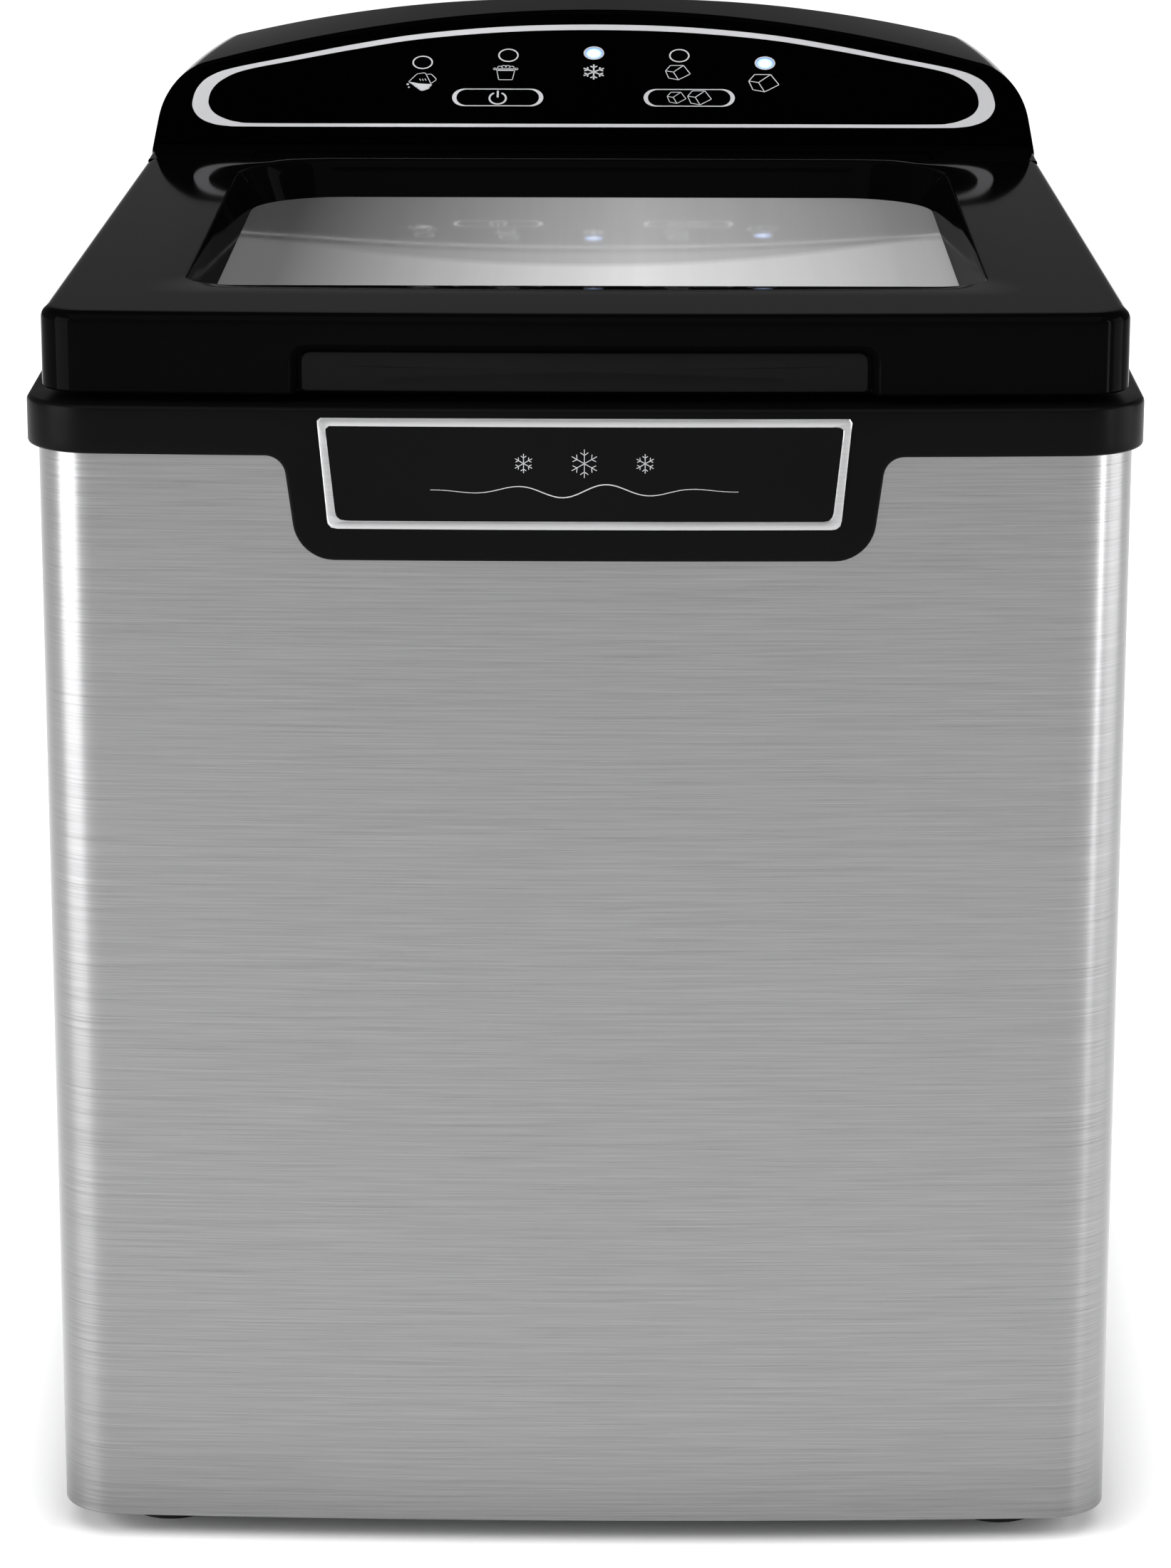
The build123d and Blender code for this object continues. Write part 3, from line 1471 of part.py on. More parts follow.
# ---------------------------------------------------------------- write every node
def main():
    """Build and write all sub-parts."""
    save(make_base_pan(), "base_pan")
    save(make_feet(), "rubber_feet")
    save(make_wrap(), "body_wrap")
    save(make_rear_cover(), "rear_cover")
    save(make_gland(), "power_gland")
    save(make_screws(), "cover_screws")
    save(make_rim(), "top_rim")
    save(make_badge_plate(), "badge_plate")
    save(make_badge_frame(), "badge_frame")
    save(make_lid_frame(), "lid_frame")
    save(make_lid_window(), "lid_window")
    save(make_lid_inner_frame(), "lid_inner_frame")
    save(make_lid_seal(), "lid_seal")
    save(make_hinge_pins(), "lid_hinge_pins")
    save(make_housing(), "control_housing")
    save(make_overlay(), "control_overlay")
    save(make_button(-button_spread), "power_button")
    save(make_button(button_spread), "size_button")
    names = ("water_low_light", "basket_full_light", "making_light", "small_ice_light", "large_ice_light")
    for name, (x, slope_place) in zip(names, light_places()):
        save(make_light(x, slope_place), name)
    save(make_display_board(), "display_board")
    save(make_tact_switches(), "tact_switches")
    save(make_display_cable(), "display_cable")
    save(make_liner(), "inner_liner")
    save(make_insulation(), "liner_insulation")
    save(make_basket(), "ice_basket")
    save(make_grid(), "ice_grid")
    save(make_evaporator(), "evaporator_plate")
    save(make_fingers(), "freezing_fingers")
    save(make_evaporator_bracket(), "evaporator_bracket")
    save(make_tray(), "water_tray")
    save(make_shovel(), "tray_shovel")
    save(make_shafts(), "tray_shafts")
    save(make_motor(), "tray_motor")
    save(make_bush(), "tray_bush")
    save(make_tray_switches(), "tray_switches")
    save(make_ice_sensors(), "ice_full_sensors")
    save(make_pump(), "water_pump")
    save(make_hose(), "pump_hose")
    save(make_spout(), "water_spout")
    save(make_drain_port(), "drain_port")
    save(make_drain_plug(), "drain_plug")
    save(make_divider(), "bay_divider")
    save(make_compressor(), "compressor")
    save(make_grommets(), "compressor_grommets")
    save(make_bolts(), "compressor_bolts")
    save(make_terminal_cover(), "terminal_cover")
    save(make_fins(), "condenser_fins")
    save(make_condenser_tubes(), "condenser_tubes")
    save(make_shroud(), "fan_shroud")
    save(make_fan_motor(), "fan_motor")
    save(make_fan_blades(), "fan_blades")
    save(make_drier(), "filter_drier")
    save(make_valve(), "hot_gas_valve")
    save(make_lines(), "refrigerant_lines")
    save(make_main_board(), "main_control_board")


main()
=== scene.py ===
"""Looks of a countertop ice maker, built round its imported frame.

Sizes inside the classes are in millimetres, in the frame's own axes (+Z up, front faces -Y).
Each mesh is worked out with numpy as whole arrays and stored in metres.
"""

import json
import logging
import math
from dataclasses import dataclass
from enum import Enum
from typing import Sequence

import bmesh
import bpy
import numpy as np
from mathutils import Matrix, Vector


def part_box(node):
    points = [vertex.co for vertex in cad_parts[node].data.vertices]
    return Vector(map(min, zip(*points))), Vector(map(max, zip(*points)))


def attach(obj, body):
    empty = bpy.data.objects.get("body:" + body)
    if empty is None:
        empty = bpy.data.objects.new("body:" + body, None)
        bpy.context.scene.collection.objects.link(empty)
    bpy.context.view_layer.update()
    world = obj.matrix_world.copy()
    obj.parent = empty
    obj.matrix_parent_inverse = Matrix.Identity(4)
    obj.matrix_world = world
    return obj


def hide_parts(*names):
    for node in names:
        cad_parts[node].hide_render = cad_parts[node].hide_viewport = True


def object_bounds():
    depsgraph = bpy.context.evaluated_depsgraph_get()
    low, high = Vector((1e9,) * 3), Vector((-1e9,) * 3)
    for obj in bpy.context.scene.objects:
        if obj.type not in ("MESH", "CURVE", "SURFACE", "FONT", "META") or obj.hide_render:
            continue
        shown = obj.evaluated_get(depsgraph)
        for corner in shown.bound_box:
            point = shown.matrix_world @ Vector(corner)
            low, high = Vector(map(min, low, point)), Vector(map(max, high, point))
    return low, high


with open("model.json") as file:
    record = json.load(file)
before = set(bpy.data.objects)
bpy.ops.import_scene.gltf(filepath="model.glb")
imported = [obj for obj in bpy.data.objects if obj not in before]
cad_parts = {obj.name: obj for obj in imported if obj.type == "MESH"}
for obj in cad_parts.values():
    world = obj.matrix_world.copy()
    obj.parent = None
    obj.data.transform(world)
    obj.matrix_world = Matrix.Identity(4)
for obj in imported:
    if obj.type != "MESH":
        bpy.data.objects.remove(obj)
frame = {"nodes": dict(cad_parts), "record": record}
CAD_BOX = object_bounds()
LOG = logging.getLogger("ice_maker")
MM = 0.001
WELD_REACH = 2e-6
EMPTY_REACH = 1e-7
EAR_REACH = 18.9
Array = np.ndarray


# ------------------------------------------------------------------ frame readings
def node_box(node: str) -> tuple[Array, Array]:
    """Corners of a CAD node in millimetres.

    Args:
        node: name of the node.

    Returns:
        Lowest and highest corner.
    """
    low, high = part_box(node)
    return np.array(low) / MM, np.array(high) / MM


def joint_place(name: str) -> Array:
    """Point on a joint's axis, in millimetres.

    Args:
        name: name of the joint.

    Returns:
        The point.
    """
    joints = frame["record"]["behaviour"]["joints"]
    found = next(joint for joint in joints if joint["name"] == name)
    return np.array(found["pos_m"]) / MM


# ------------------------------------------------------------------ numpy surfaces
def grid_quads(rows: int, cols: int, close_rows: bool = False, close_cols: bool = False) -> Array:
    """Quads of a grid of points: each joins (i, j), (i, j+1), (i+1, j+1) and (i+1, j).

    Args:
        rows: number of rows of points.
        cols: number of points in a row.
        close_rows: the last row joins the first.
        close_cols: the last point of a row joins its first.

    Returns:
        Quads as an (n, 4) array of point numbers.
    """
    i = np.arange(rows if close_rows else rows - 1)[:, None]
    j = np.arange(cols if close_cols else cols - 1)[None, :]
    i2 = (i + 1) % rows
    j2 = (j + 1) % cols
    quads = np.stack(np.broadcast_arrays(i * cols + j, i * cols + j2, i2 * cols + j2, i2 * cols + j), axis=-1)
    return quads.reshape(-1, 4)


@dataclass
class Shape:
    """Points in millimetres and the faces between them."""

    points: Array
    quads: Array
    triangles: Array

    @staticmethod
    def grid(rings: Array, close_rows: bool = False, close_cols: bool = False) -> "Shape":
        """Surface through a (rows, cols, 3) array of points.

        Args:
            rings: (rows, columns, 3) points.
            close_rows: join the last row to the first.
            close_cols: join the last column to the first.

        Returns:
            The surface of quads.
        """
        rows, cols = rings.shape[:2]
        quads = grid_quads(rows, cols, close_rows, close_cols)
        return Shape(rings.reshape(-1, 3), quads, np.zeros((0, 3), int))

    @staticmethod
    def tube(rings: Array, cap_first: bool = True, cap_last: bool = True) -> "Shape":
        """Closed loops joined in order, with a fan of triangles over each capped end.

        Args:
            rings: (rows, cols, 3) points; each row is a closed loop.
            cap_first: close the first loop.
            cap_last: close the last loop.

        Returns:
            The closed shape.
        """
        shape = Shape.grid(rings, close_cols=True)
        cols = rings.shape[1]
        step = np.arange(cols)
        ahead = (step + 1) % cols
        points = [shape.points]
        fans = []
        count = len(shape.points)
        if cap_first:
            points.append(rings[0].mean(axis=0, keepdims=True))
            fans.append(np.stack([np.full(cols, count), ahead, step], axis=1))
            count += 1
        if cap_last:
            base = (rings.shape[0] - 1) * cols
            points.append(rings[-1].mean(axis=0, keepdims=True))
            fans.append(np.stack([np.full(cols, count), base + step, base + ahead], axis=1))
        triangles = np.concatenate(fans) if fans else np.zeros((0, 3), int)
        return Shape(np.concatenate(points), shape.quads, triangles)

    def moved(self, matrix: Array, offset: Sequence[float]) -> "Shape":
        """Each point becomes matrix times point plus offset."""
        points = self.points @ np.asarray(matrix, float).T + np.asarray(offset, float)
        return Shape(points, self.quads, self.triangles)

    @staticmethod
    def join(parts: Sequence["Shape"]) -> "Shape":
        """Several shapes as one, points counted on from one to the next.

        Args:
            parts: shapes to put together.

        Returns:
            One shape holding them all.
        """
        starts = np.cumsum([0] + [len(part.points) for part in parts[:-1]])
        return Shape(
            np.concatenate([part.points for part in parts]),
            np.concatenate([part.quads + start for part, start in zip(parts, starts)]),
            np.concatenate([part.triangles + start for part, start in zip(parts, starts)]),
        )


def make_piece(name: str, shape: Shape, material: bpy.types.Material, smooth_angle: float = 32.0,
               weld: bool = True) -> bpy.types.Object:
    """Puts a shape into a mesh object at the origin, with outward faces and smooth shading.

    Args:
        name: name of the piece.
        shape: its points in millimetres and faces.
        material: its material.
        smooth_angle: edges sharper than this stay sharp, in degrees.
        weld: merge points that coincide.

    Returns:
        The object.
    """
    faces = shape.quads.tolist() + shape.triangles.tolist()
    mesh = bpy.data.meshes.new(name)
    mesh.from_pydata((shape.points * MM).tolist(), [], faces)
    piece = bpy.data.objects.new(name, mesh)
    bpy.context.scene.collection.objects.link(piece)
    tidy_mesh(mesh, weld, smooth_angle)
    mesh.materials.append(material)
    return piece


def tidy_mesh(mesh: bpy.types.Mesh, weld: bool, smooth_angle: float) -> None:
    """Merges doubles, drops empty faces, points faces outwards and marks sharp edges.

    Args:
        mesh: the mesh to work on.
        weld: merge points that coincide.
        smooth_angle: edges sharper than this stay hard, in degrees.
    """
    work = bmesh.new()
    work.from_mesh(mesh)
    if weld:
        bmesh.ops.remove_doubles(work, verts=work.verts, dist=WELD_REACH)
    bmesh.ops.dissolve_degenerate(work, dist=EMPTY_REACH, edges=work.edges)
    bmesh.ops.recalc_face_normals(work, faces=work.faces)
    work.to_mesh(mesh)
    work.free()
    mesh.shade_smooth()
    mesh.set_sharp_from_angle(angle=math.radians(smooth_angle))


def arc(centre: Sequence[float], radius: float, start: float, end: float, count: int) -> Array:
    """Points of a circular arc: centre plus radius times (cos, sin) of evenly spaced angles in degrees."""
    angle = np.radians(np.linspace(start, end, count))
    return np.stack([centre[0] + radius * np.cos(angle), centre[1] + radius * np.sin(angle)], axis=1)


def smoothstep(value: Array, low: float, high: float) -> Array:
    """Rises from 0 at low to 1 at high as 3t squared minus 2t cubed."""
    t = np.clip((value - low) / (high - low), 0.0, 1.0)
    return t * t * (3 - 2 * t)


def round_profile(corners: Sequence[tuple[float, float]], radii: Sequence[float], count: int = 6) -> Array:
    """Closed polygon with rounded corners.

    Each corner is replaced by the arc of its radius that touches both sides, sampled evenly.

    Args:
        corners: polygon corners in order.
        radii: one radius for each corner; 0 keeps it sharp.
        count: points on each arc.

    Returns:
        (n, 2) array of points.
    """
    out = []
    pts = np.array(corners, float)
    for k, radius in enumerate(radii):
        here = pts[k]
        back = pts[k - 1] - here
        ahead = pts[(k + 1) % len(pts)] - here
        back /= np.linalg.norm(back)
        ahead /= np.linalg.norm(ahead)
        if radius <= 0:
            out.append(here[None])
            continue
        half = math.acos(np.clip(back @ ahead, -1, 1)) / 2
        reach = radius / math.tan(half)
        first = here + back * reach
        middle_way = (back + ahead) / np.linalg.norm(back + ahead)
        centre = here + middle_way * radius / math.sin(half)
        a = first - centre
        b = here + ahead * reach - centre
        turn = math.atan2(a[0] * b[1] - a[1] * b[0], a @ b)
        angle = np.linspace(0, turn, count)[:, None]
        side = np.array([-a[1], a[0]])
        out.append(centre + a * np.cos(angle) + side * np.sin(angle))
    return np.concatenate(out)


def ribbon(points: Array, width: float, height: float, closed: bool = False) -> Shape:
    """Thin raised line along a flat path: four points beside each path point, joined as a tube.

    Args:
        points: (n, 2) path.
        width: width of the line, or one width for each point.
        height: how far it stands up.
        closed: the path is a loop.

    Returns:
        The shape, in the path's plane with z as height.
    """
    path = np.asarray(points, float)
    if closed:
        tangent = np.roll(path, -1, axis=0) - np.roll(path, 1, axis=0)
    else:
        tangent = np.gradient(path, axis=0)
    tangent /= np.maximum(np.linalg.norm(tangent, axis=1, keepdims=True), 1e-9)
    half_width = np.broadcast_to(width, (len(path),))[:, None] / 2
    side = np.stack([-tangent[:, 1], tangent[:, 0]], axis=1) * half_width
    crest = 0.94
    low = np.zeros((len(path), 1))
    high = np.full((len(path), 1), height)
    rings = np.stack(
        [
            np.hstack([path + side, low]),
            np.hstack([path + side * crest, high]),
            np.hstack([path - side * crest, high]),
            np.hstack([path - side, low]),
        ],
        axis=1,
    )
    if closed:
        return Shape.grid(rings, close_rows=True, close_cols=True)
    return Shape.tube(rings)


# ------------------------------------------------------------------ materials
class Grain(Enum):
    """Surface pattern of a moulded or sheet finish."""

    FINE = "fine"
    ORANGE_PEEL = "orange_peel"
    SPARK = "spark"


GRAIN_SCALE = {Grain.FINE: 2600.0, Grain.ORANGE_PEEL: 420.0, Grain.SPARK: 1500.0}
GRAIN_DEPTH = 0.0001


class NodeTree:
    """Short hands for building one material's nodes."""

    def __init__(self, name: str) -> None:
        """Starts a material with an empty Principled shader.

        Args:
            name: the material's name.
        """
        self.material = bpy.data.materials.new(name)
        self.material.use_nodes = True
        self.nodes = self.material.node_tree.nodes
        self.links = self.material.node_tree.links
        self.shader = self.nodes["Principled BSDF"]

    def add(self, kind: str, **values: object) -> bpy.types.Node:
        """New node with attributes set by name.

        Args:
            kind: the node's type.
            values: properties to set on it.

        Returns:
            The new node.
        """
        node = self.nodes.new(kind)
        for key, value in values.items():
            setattr(node, key, value)
        return node

    def coordinates(self, scale: Sequence[float]) -> bpy.types.NodeSocket:
        """Object coordinates times a scale for each axis.

        Args:
            scale: factors for the three axes.

        Returns:
            The scaled object coordinates.
        """
        place = self.add("ShaderNodeTexCoord")
        mapping = self.add("ShaderNodeMapping")
        mapping.inputs["Scale"].default_value = tuple(scale)
        self.links.new(place.outputs["Object"], mapping.inputs["Vector"])
        return mapping.outputs["Vector"]

    def noise(self, vector: bpy.types.NodeSocket, scale: float, detail: float = 3.0,
              roughness: float = 0.5) -> bpy.types.NodeSocket:
        """Noise value of a vector.

        Args:
            vector: where it is sampled.
            scale: how fine it is.
            detail: number of octaves.
            roughness: weight of the finer octaves.

        Returns:
            The noise value.
        """
        node = self.add("ShaderNodeTexNoise")
        node.inputs["Scale"].default_value = scale
        node.inputs["Detail"].default_value = detail
        node.inputs["Roughness"].default_value = roughness
        self.links.new(vector, node.inputs["Vector"])
        return node.outputs["Fac"]

    def spread(self, value: bpy.types.NodeSocket, low: float, high: float, from_low: float = 0.3,
               from_high: float = 0.7) -> bpy.types.NodeSocket:
        """Maps a value's range onto low to high.

        Args:
            value: the input.
            low: result at from_low.
            high: result at from_high.
            from_low: start of the input range.
            from_high: end of the input range.

        Returns:
            The mapped value, held inside the range.
        """
        node = self.add("ShaderNodeMapRange")
        node.inputs["From Min"].default_value = from_low
        node.inputs["From Max"].default_value = from_high
        node.inputs["To Min"].default_value = low
        node.inputs["To Max"].default_value = high
        self.links.new(value, node.inputs["Value"])
        return node.outputs["Result"]

    def times(self, first: bpy.types.NodeSocket, second: bpy.types.NodeSocket | float,
              plus: bpy.types.NodeSocket | float = 0.0) -> bpy.types.NodeSocket:
        """First times second, plus a third value.

        Args:
            first: socket to multiply.
            second: socket or number it is multiplied by.
            plus: socket or number added.

        Returns:
            Socket of the result.
        """
        node = self.add("ShaderNodeMath", operation="MULTIPLY_ADD")
        for socket, value in zip(node.inputs, (first, second, plus)):
            if isinstance(value, bpy.types.NodeSocket):
                self.links.new(value, socket)
            else:
                socket.default_value = value
        return node.outputs[0]

    def tint(self, factor: bpy.types.NodeSocket, first: Sequence[float], second: Sequence[float],
             socket: str = "Base Color") -> None:
        """Colour between two, by a factor, into a shader socket.

        Args:
            factor: share of the second colour.
            first: colour at 0.
            second: colour at 1.
            socket: the shader input to drive.
        """
        ramp = self.add("ShaderNodeValToRGB")
        ramp.color_ramp.elements[0].color = (*first, 1)
        ramp.color_ramp.elements[1].color = (*second, 1)
        self.links.new(factor, ramp.inputs["Fac"])
        self.links.new(ramp.outputs["Color"], self.shader.inputs[socket])

    def bump(self, height: bpy.types.NodeSocket, strength: float, distance: float) -> None:
        """Bump from a height into the shader's normal.

        Args:
            height: the relief.
            strength: how strongly it shows.
            distance: its depth in metres.
        """
        node = self.add("ShaderNodeBump")
        node.inputs["Strength"].default_value = strength
        node.inputs["Distance"].default_value = distance
        self.links.new(height, node.inputs["Height"])
        self.links.new(node.outputs["Normal"], self.shader.inputs["Normal"])

    def into(self, value: bpy.types.NodeSocket, socket: str) -> None:
        """Links a value into a shader socket."""
        self.links.new(value, self.shader.inputs[socket])

    def constant(self, **values: object) -> None:
        """Sets shader sockets; underscores stand for spaces."""
        for key, value in values.items():
            self.shader.inputs[key.replace("_", " ")].default_value = value


@dataclass(frozen=True)
class BrushedMetal:
    """Sheet metal brushed along the horizontal, with fine streaks and slight cloudiness.

    The streaks' sizes are counts in a metre: pitch across them, fine_along and broad_along along them.
    """

    name: str
    colour: tuple[float, float, float]
    roughness: float = 0.3
    streak: float = 0.12
    pitch: float = 900.0
    anisotropy: float = 0.6
    fine_along: float = 42.0
    broad_along: float = 13.0
    broad_ratio: float = 1.3
    fine_share: float = 0.7
    depth: float = 0.00002

    def material(self) -> bpy.types.Material:
        """Streaks are noise stretched along X and Y; roughness and height follow them.

        Returns:
            The finished material.
        """
        tree = NodeTree(self.name)
        fine_scale = (self.fine_along, self.fine_along, self.pitch)
        broad_scale = (self.broad_along, self.broad_along, self.pitch / self.broad_ratio)
        fine = tree.noise(tree.coordinates(fine_scale), 1.0, 4.0, 0.6)
        broad = tree.noise(tree.coordinates(broad_scale), 1.0, 3.0, 0.5)
        mix = tree.times(fine, self.fine_share, tree.times(broad, 1 - self.fine_share))
        factor = tree.spread(mix, 0.0, 1.0, 0.32, 0.68)
        dark = tuple(c * (1 - self.streak) for c in self.colour)
        light = tuple(min(c * (1 + self.streak), 1.0) for c in self.colour)
        tree.tint(factor, dark, light)
        tree.into(tree.spread(mix, self.roughness * 0.85, self.roughness * 1.2), "Roughness")
        tree.constant(Metallic=1.0, Anisotropic=self.anisotropy, Anisotropic_Rotation=0.25)
        tangent = tree.add("ShaderNodeTangent", direction_type="RADIAL", axis="Z")
        tree.links.new(tangent.outputs["Tangent"], tree.shader.inputs["Tangent"])
        tree.bump(mix, 0.25, self.depth)
        return tree.material


@dataclass(frozen=True)
class Moulded:
    """Moulded plastic or rubber: base colour with slight cloudiness, mould grain and rub marks."""

    name: str
    colour: tuple[float, float, float]
    roughness: float = 0.3
    specular: float = 0.5
    grain: Grain = Grain.FINE
    depth: float = 0.03
    clearness: float = 0.0
    ior: float = 1.5

    def material(self) -> bpy.types.Material:
        """Grain is noise at the pattern's own size; roughness varies in broad soft patches.

        Returns:
            The finished material.
        """
        scale = GRAIN_SCALE[self.grain]
        tree = NodeTree(self.name)
        coordinates = tree.coordinates((1, 1, 1))
        grain = tree.noise(coordinates, scale, 2.0)
        cloud = tree.noise(coordinates, 14.0, 4.0, 0.6)
        low = tuple(c * 0.88 for c in self.colour)
        high = tuple(min(c * 1.12, 1.0) for c in self.colour)
        tree.tint(tree.spread(cloud, 0.0, 1.0), low, high)
        tree.into(tree.spread(cloud, self.roughness * 0.8, min(self.roughness * 1.25, 1.0)), "Roughness")
        tree.shader.inputs["Specular IOR Level"].default_value = self.specular
        tree.shader.inputs["IOR"].default_value = self.ior
        tree.shader.inputs["Transmission Weight"].default_value = self.clearness
        tree.bump(grain, self.depth, GRAIN_DEPTH)
        return tree.material


@dataclass(frozen=True)
class PlainMetal:
    """Plated, drawn or milled metal with fine pits and soft tarnish."""

    name: str
    colour: tuple[float, float, float]
    roughness: float = 0.22
    tarnish: float = 0.2

    def material(self) -> bpy.types.Material:
        """Tarnish is broad noise that darkens and dulls; pits are fine noise.

        Returns:
            The finished material.
        """
        tree = NodeTree(self.name)
        coordinates = tree.coordinates((1, 1, 1))
        cloud = tree.noise(coordinates, 55.0, 5.0, 0.6)
        dull = tuple(c * (1 - self.tarnish) for c in self.colour)
        tree.tint(tree.spread(cloud, 0.0, 1.0), dull, self.colour)
        tree.into(tree.spread(cloud, self.roughness * 1.4, self.roughness * 0.8), "Roughness")
        tree.constant(Metallic=1.0)
        tree.bump(tree.noise(coordinates, 2200.0, 2.0), 0.06, GRAIN_DEPTH)
        return tree.material


@dataclass(frozen=True)
class SilveredPane:
    """Half-silvered smoked pane: pearl grey, with a painted highlight brightest in the middle and a painted
    reflection of the housing that darkens it behind a shallow arc.
    """

    name: str
    # ends of the pane's painted light: the grey of the highlight and the grey of the painted shade
    painted_highlight_grey: float = 1.0
    painted_shade_grey: float = 0.12
    mirror: float = 0.07
    roughness: float = 0.05
    # place and fall-off of the painted highlight across the pane
    middle: float = 0.012
    highlight_left_fade: float = 0.085
    highlight_right_fade: float = 0.095
    highlight_right_end: float = 0.3
    # shape and depth of the painted reflection of the housing, an arc across the pane
    reflection_arc_front: float = -0.055
    reflection_arc_radius: float = 0.075
    reflection_arc_soft: float = 0.004
    reflection_arc_shade: float = 0.6
    lean: float = 0.042

    def material(self) -> bpy.types.Material:
        """Painted highlight: brightness falls with the distance from the middle line; painted reflection of
        the housing: darker behind an arc bent towards the rear.

        The arc runs through reflection_arc_front at x = 0, and its depth grows by x squared over twice its
        radius.
        The surface leans towards the front by a slope of lean.

        Returns:
            The finished material.
        """
        tree = NodeTree(self.name)
        place = tree.add("ShaderNodeTexCoord")
        split = tree.add("ShaderNodeSeparateXYZ")
        tree.links.new(place.outputs["Object"], split.inputs[0])
        x, y = split.outputs["X"], split.outputs["Y"]
        # painted highlight: the pane is brightest at the middle line and darker towards each side
        left = tree.spread(x, 0.0, 1.0, self.middle - self.highlight_left_fade, self.middle)
        right = tree.spread(x, 1.0, self.highlight_right_end, self.middle, self.middle + self.highlight_right_fade)
        # painted reflection of the housing: the pane is darker behind a shallow arc
        reflection_bend = tree.times(tree.times(x, x), -1 / (2 * self.reflection_arc_radius), y)
        front, soft = self.reflection_arc_front, self.reflection_arc_soft
        ahead = tree.spread(reflection_bend, 1.0, self.reflection_arc_shade, front - soft, front + soft)
        flow = tree.noise(tree.coordinates((260.0, 3.0, 1.0)), 1.0, 4.0, 0.6)
        # painted light: the highlight and the reflected shade together set the pane's grey
        grade = tree.times(tree.times(left, right), tree.times(ahead, tree.spread(flow, 0.975, 1.025)))
        tree.tint(grade, (self.painted_shade_grey,) * 3, (self.painted_highlight_grey,) * 3)
        tree.into(tree.spread(flow, self.roughness * 0.8, self.roughness * 1.3), "Roughness")
        tree.constant(Metallic=self.mirror)
        tree.bump(tree.times(y, self.lean), 1.0, 1.0)
        return tree.material


@dataclass(frozen=True)
class LitLens:
    """Lens of a working light: a hot centre that falls off to a blue rim.

    The face slopes, so its round lens is shorter in Y, and stretch makes up for that.
    """

    name: str
    centre: tuple[float, float]
    radius: float
    strength: float = 1.0
    stretch: float = 1.18

    def material(self) -> bpy.types.Material:
        """Colour and glow follow the distance from the lens's centre in X and Y.

        Returns:
            The finished material.
        """
        tree = NodeTree(self.name)
        object_place = tree.add("ShaderNodeTexCoord")
        mapping = tree.add("ShaderNodeMapping", vector_type="POINT")
        across = 1.0 / (self.radius * MM)
        along = across * self.stretch
        x, y = (place * MM for place in self.centre)
        mapping.inputs["Location"].default_value = (-x * across, -y * along, 0.0)
        mapping.inputs["Scale"].default_value = (across, along, 0.0)
        tree.links.new(object_place.outputs["Object"], mapping.inputs["Vector"])
        length = tree.add("ShaderNodeVectorMath", operation="LENGTH")
        tree.links.new(mapping.outputs["Vector"], length.inputs[0])
        ramp = tree.add("ShaderNodeValToRGB")
        ramp.color_ramp.elements[0].color = (0.8, 0.88, 1.0, 1)
        ramp.color_ramp.elements[1].color = (0.10, 0.2, 0.62, 1)
        middle = ramp.color_ramp.elements.new(0.6)
        middle.color = (0.42, 0.6, 0.98, 1)
        tree.links.new(length.outputs["Value"], ramp.inputs["Fac"])
        tree.links.new(ramp.outputs["Color"], tree.shader.inputs["Emission Color"])
        tree.links.new(ramp.outputs["Color"], tree.shader.inputs["Base Color"])
        tree.shader.inputs["Emission Strength"].default_value = self.strength
        tree.constant(Roughness=0.2)
        return tree.material


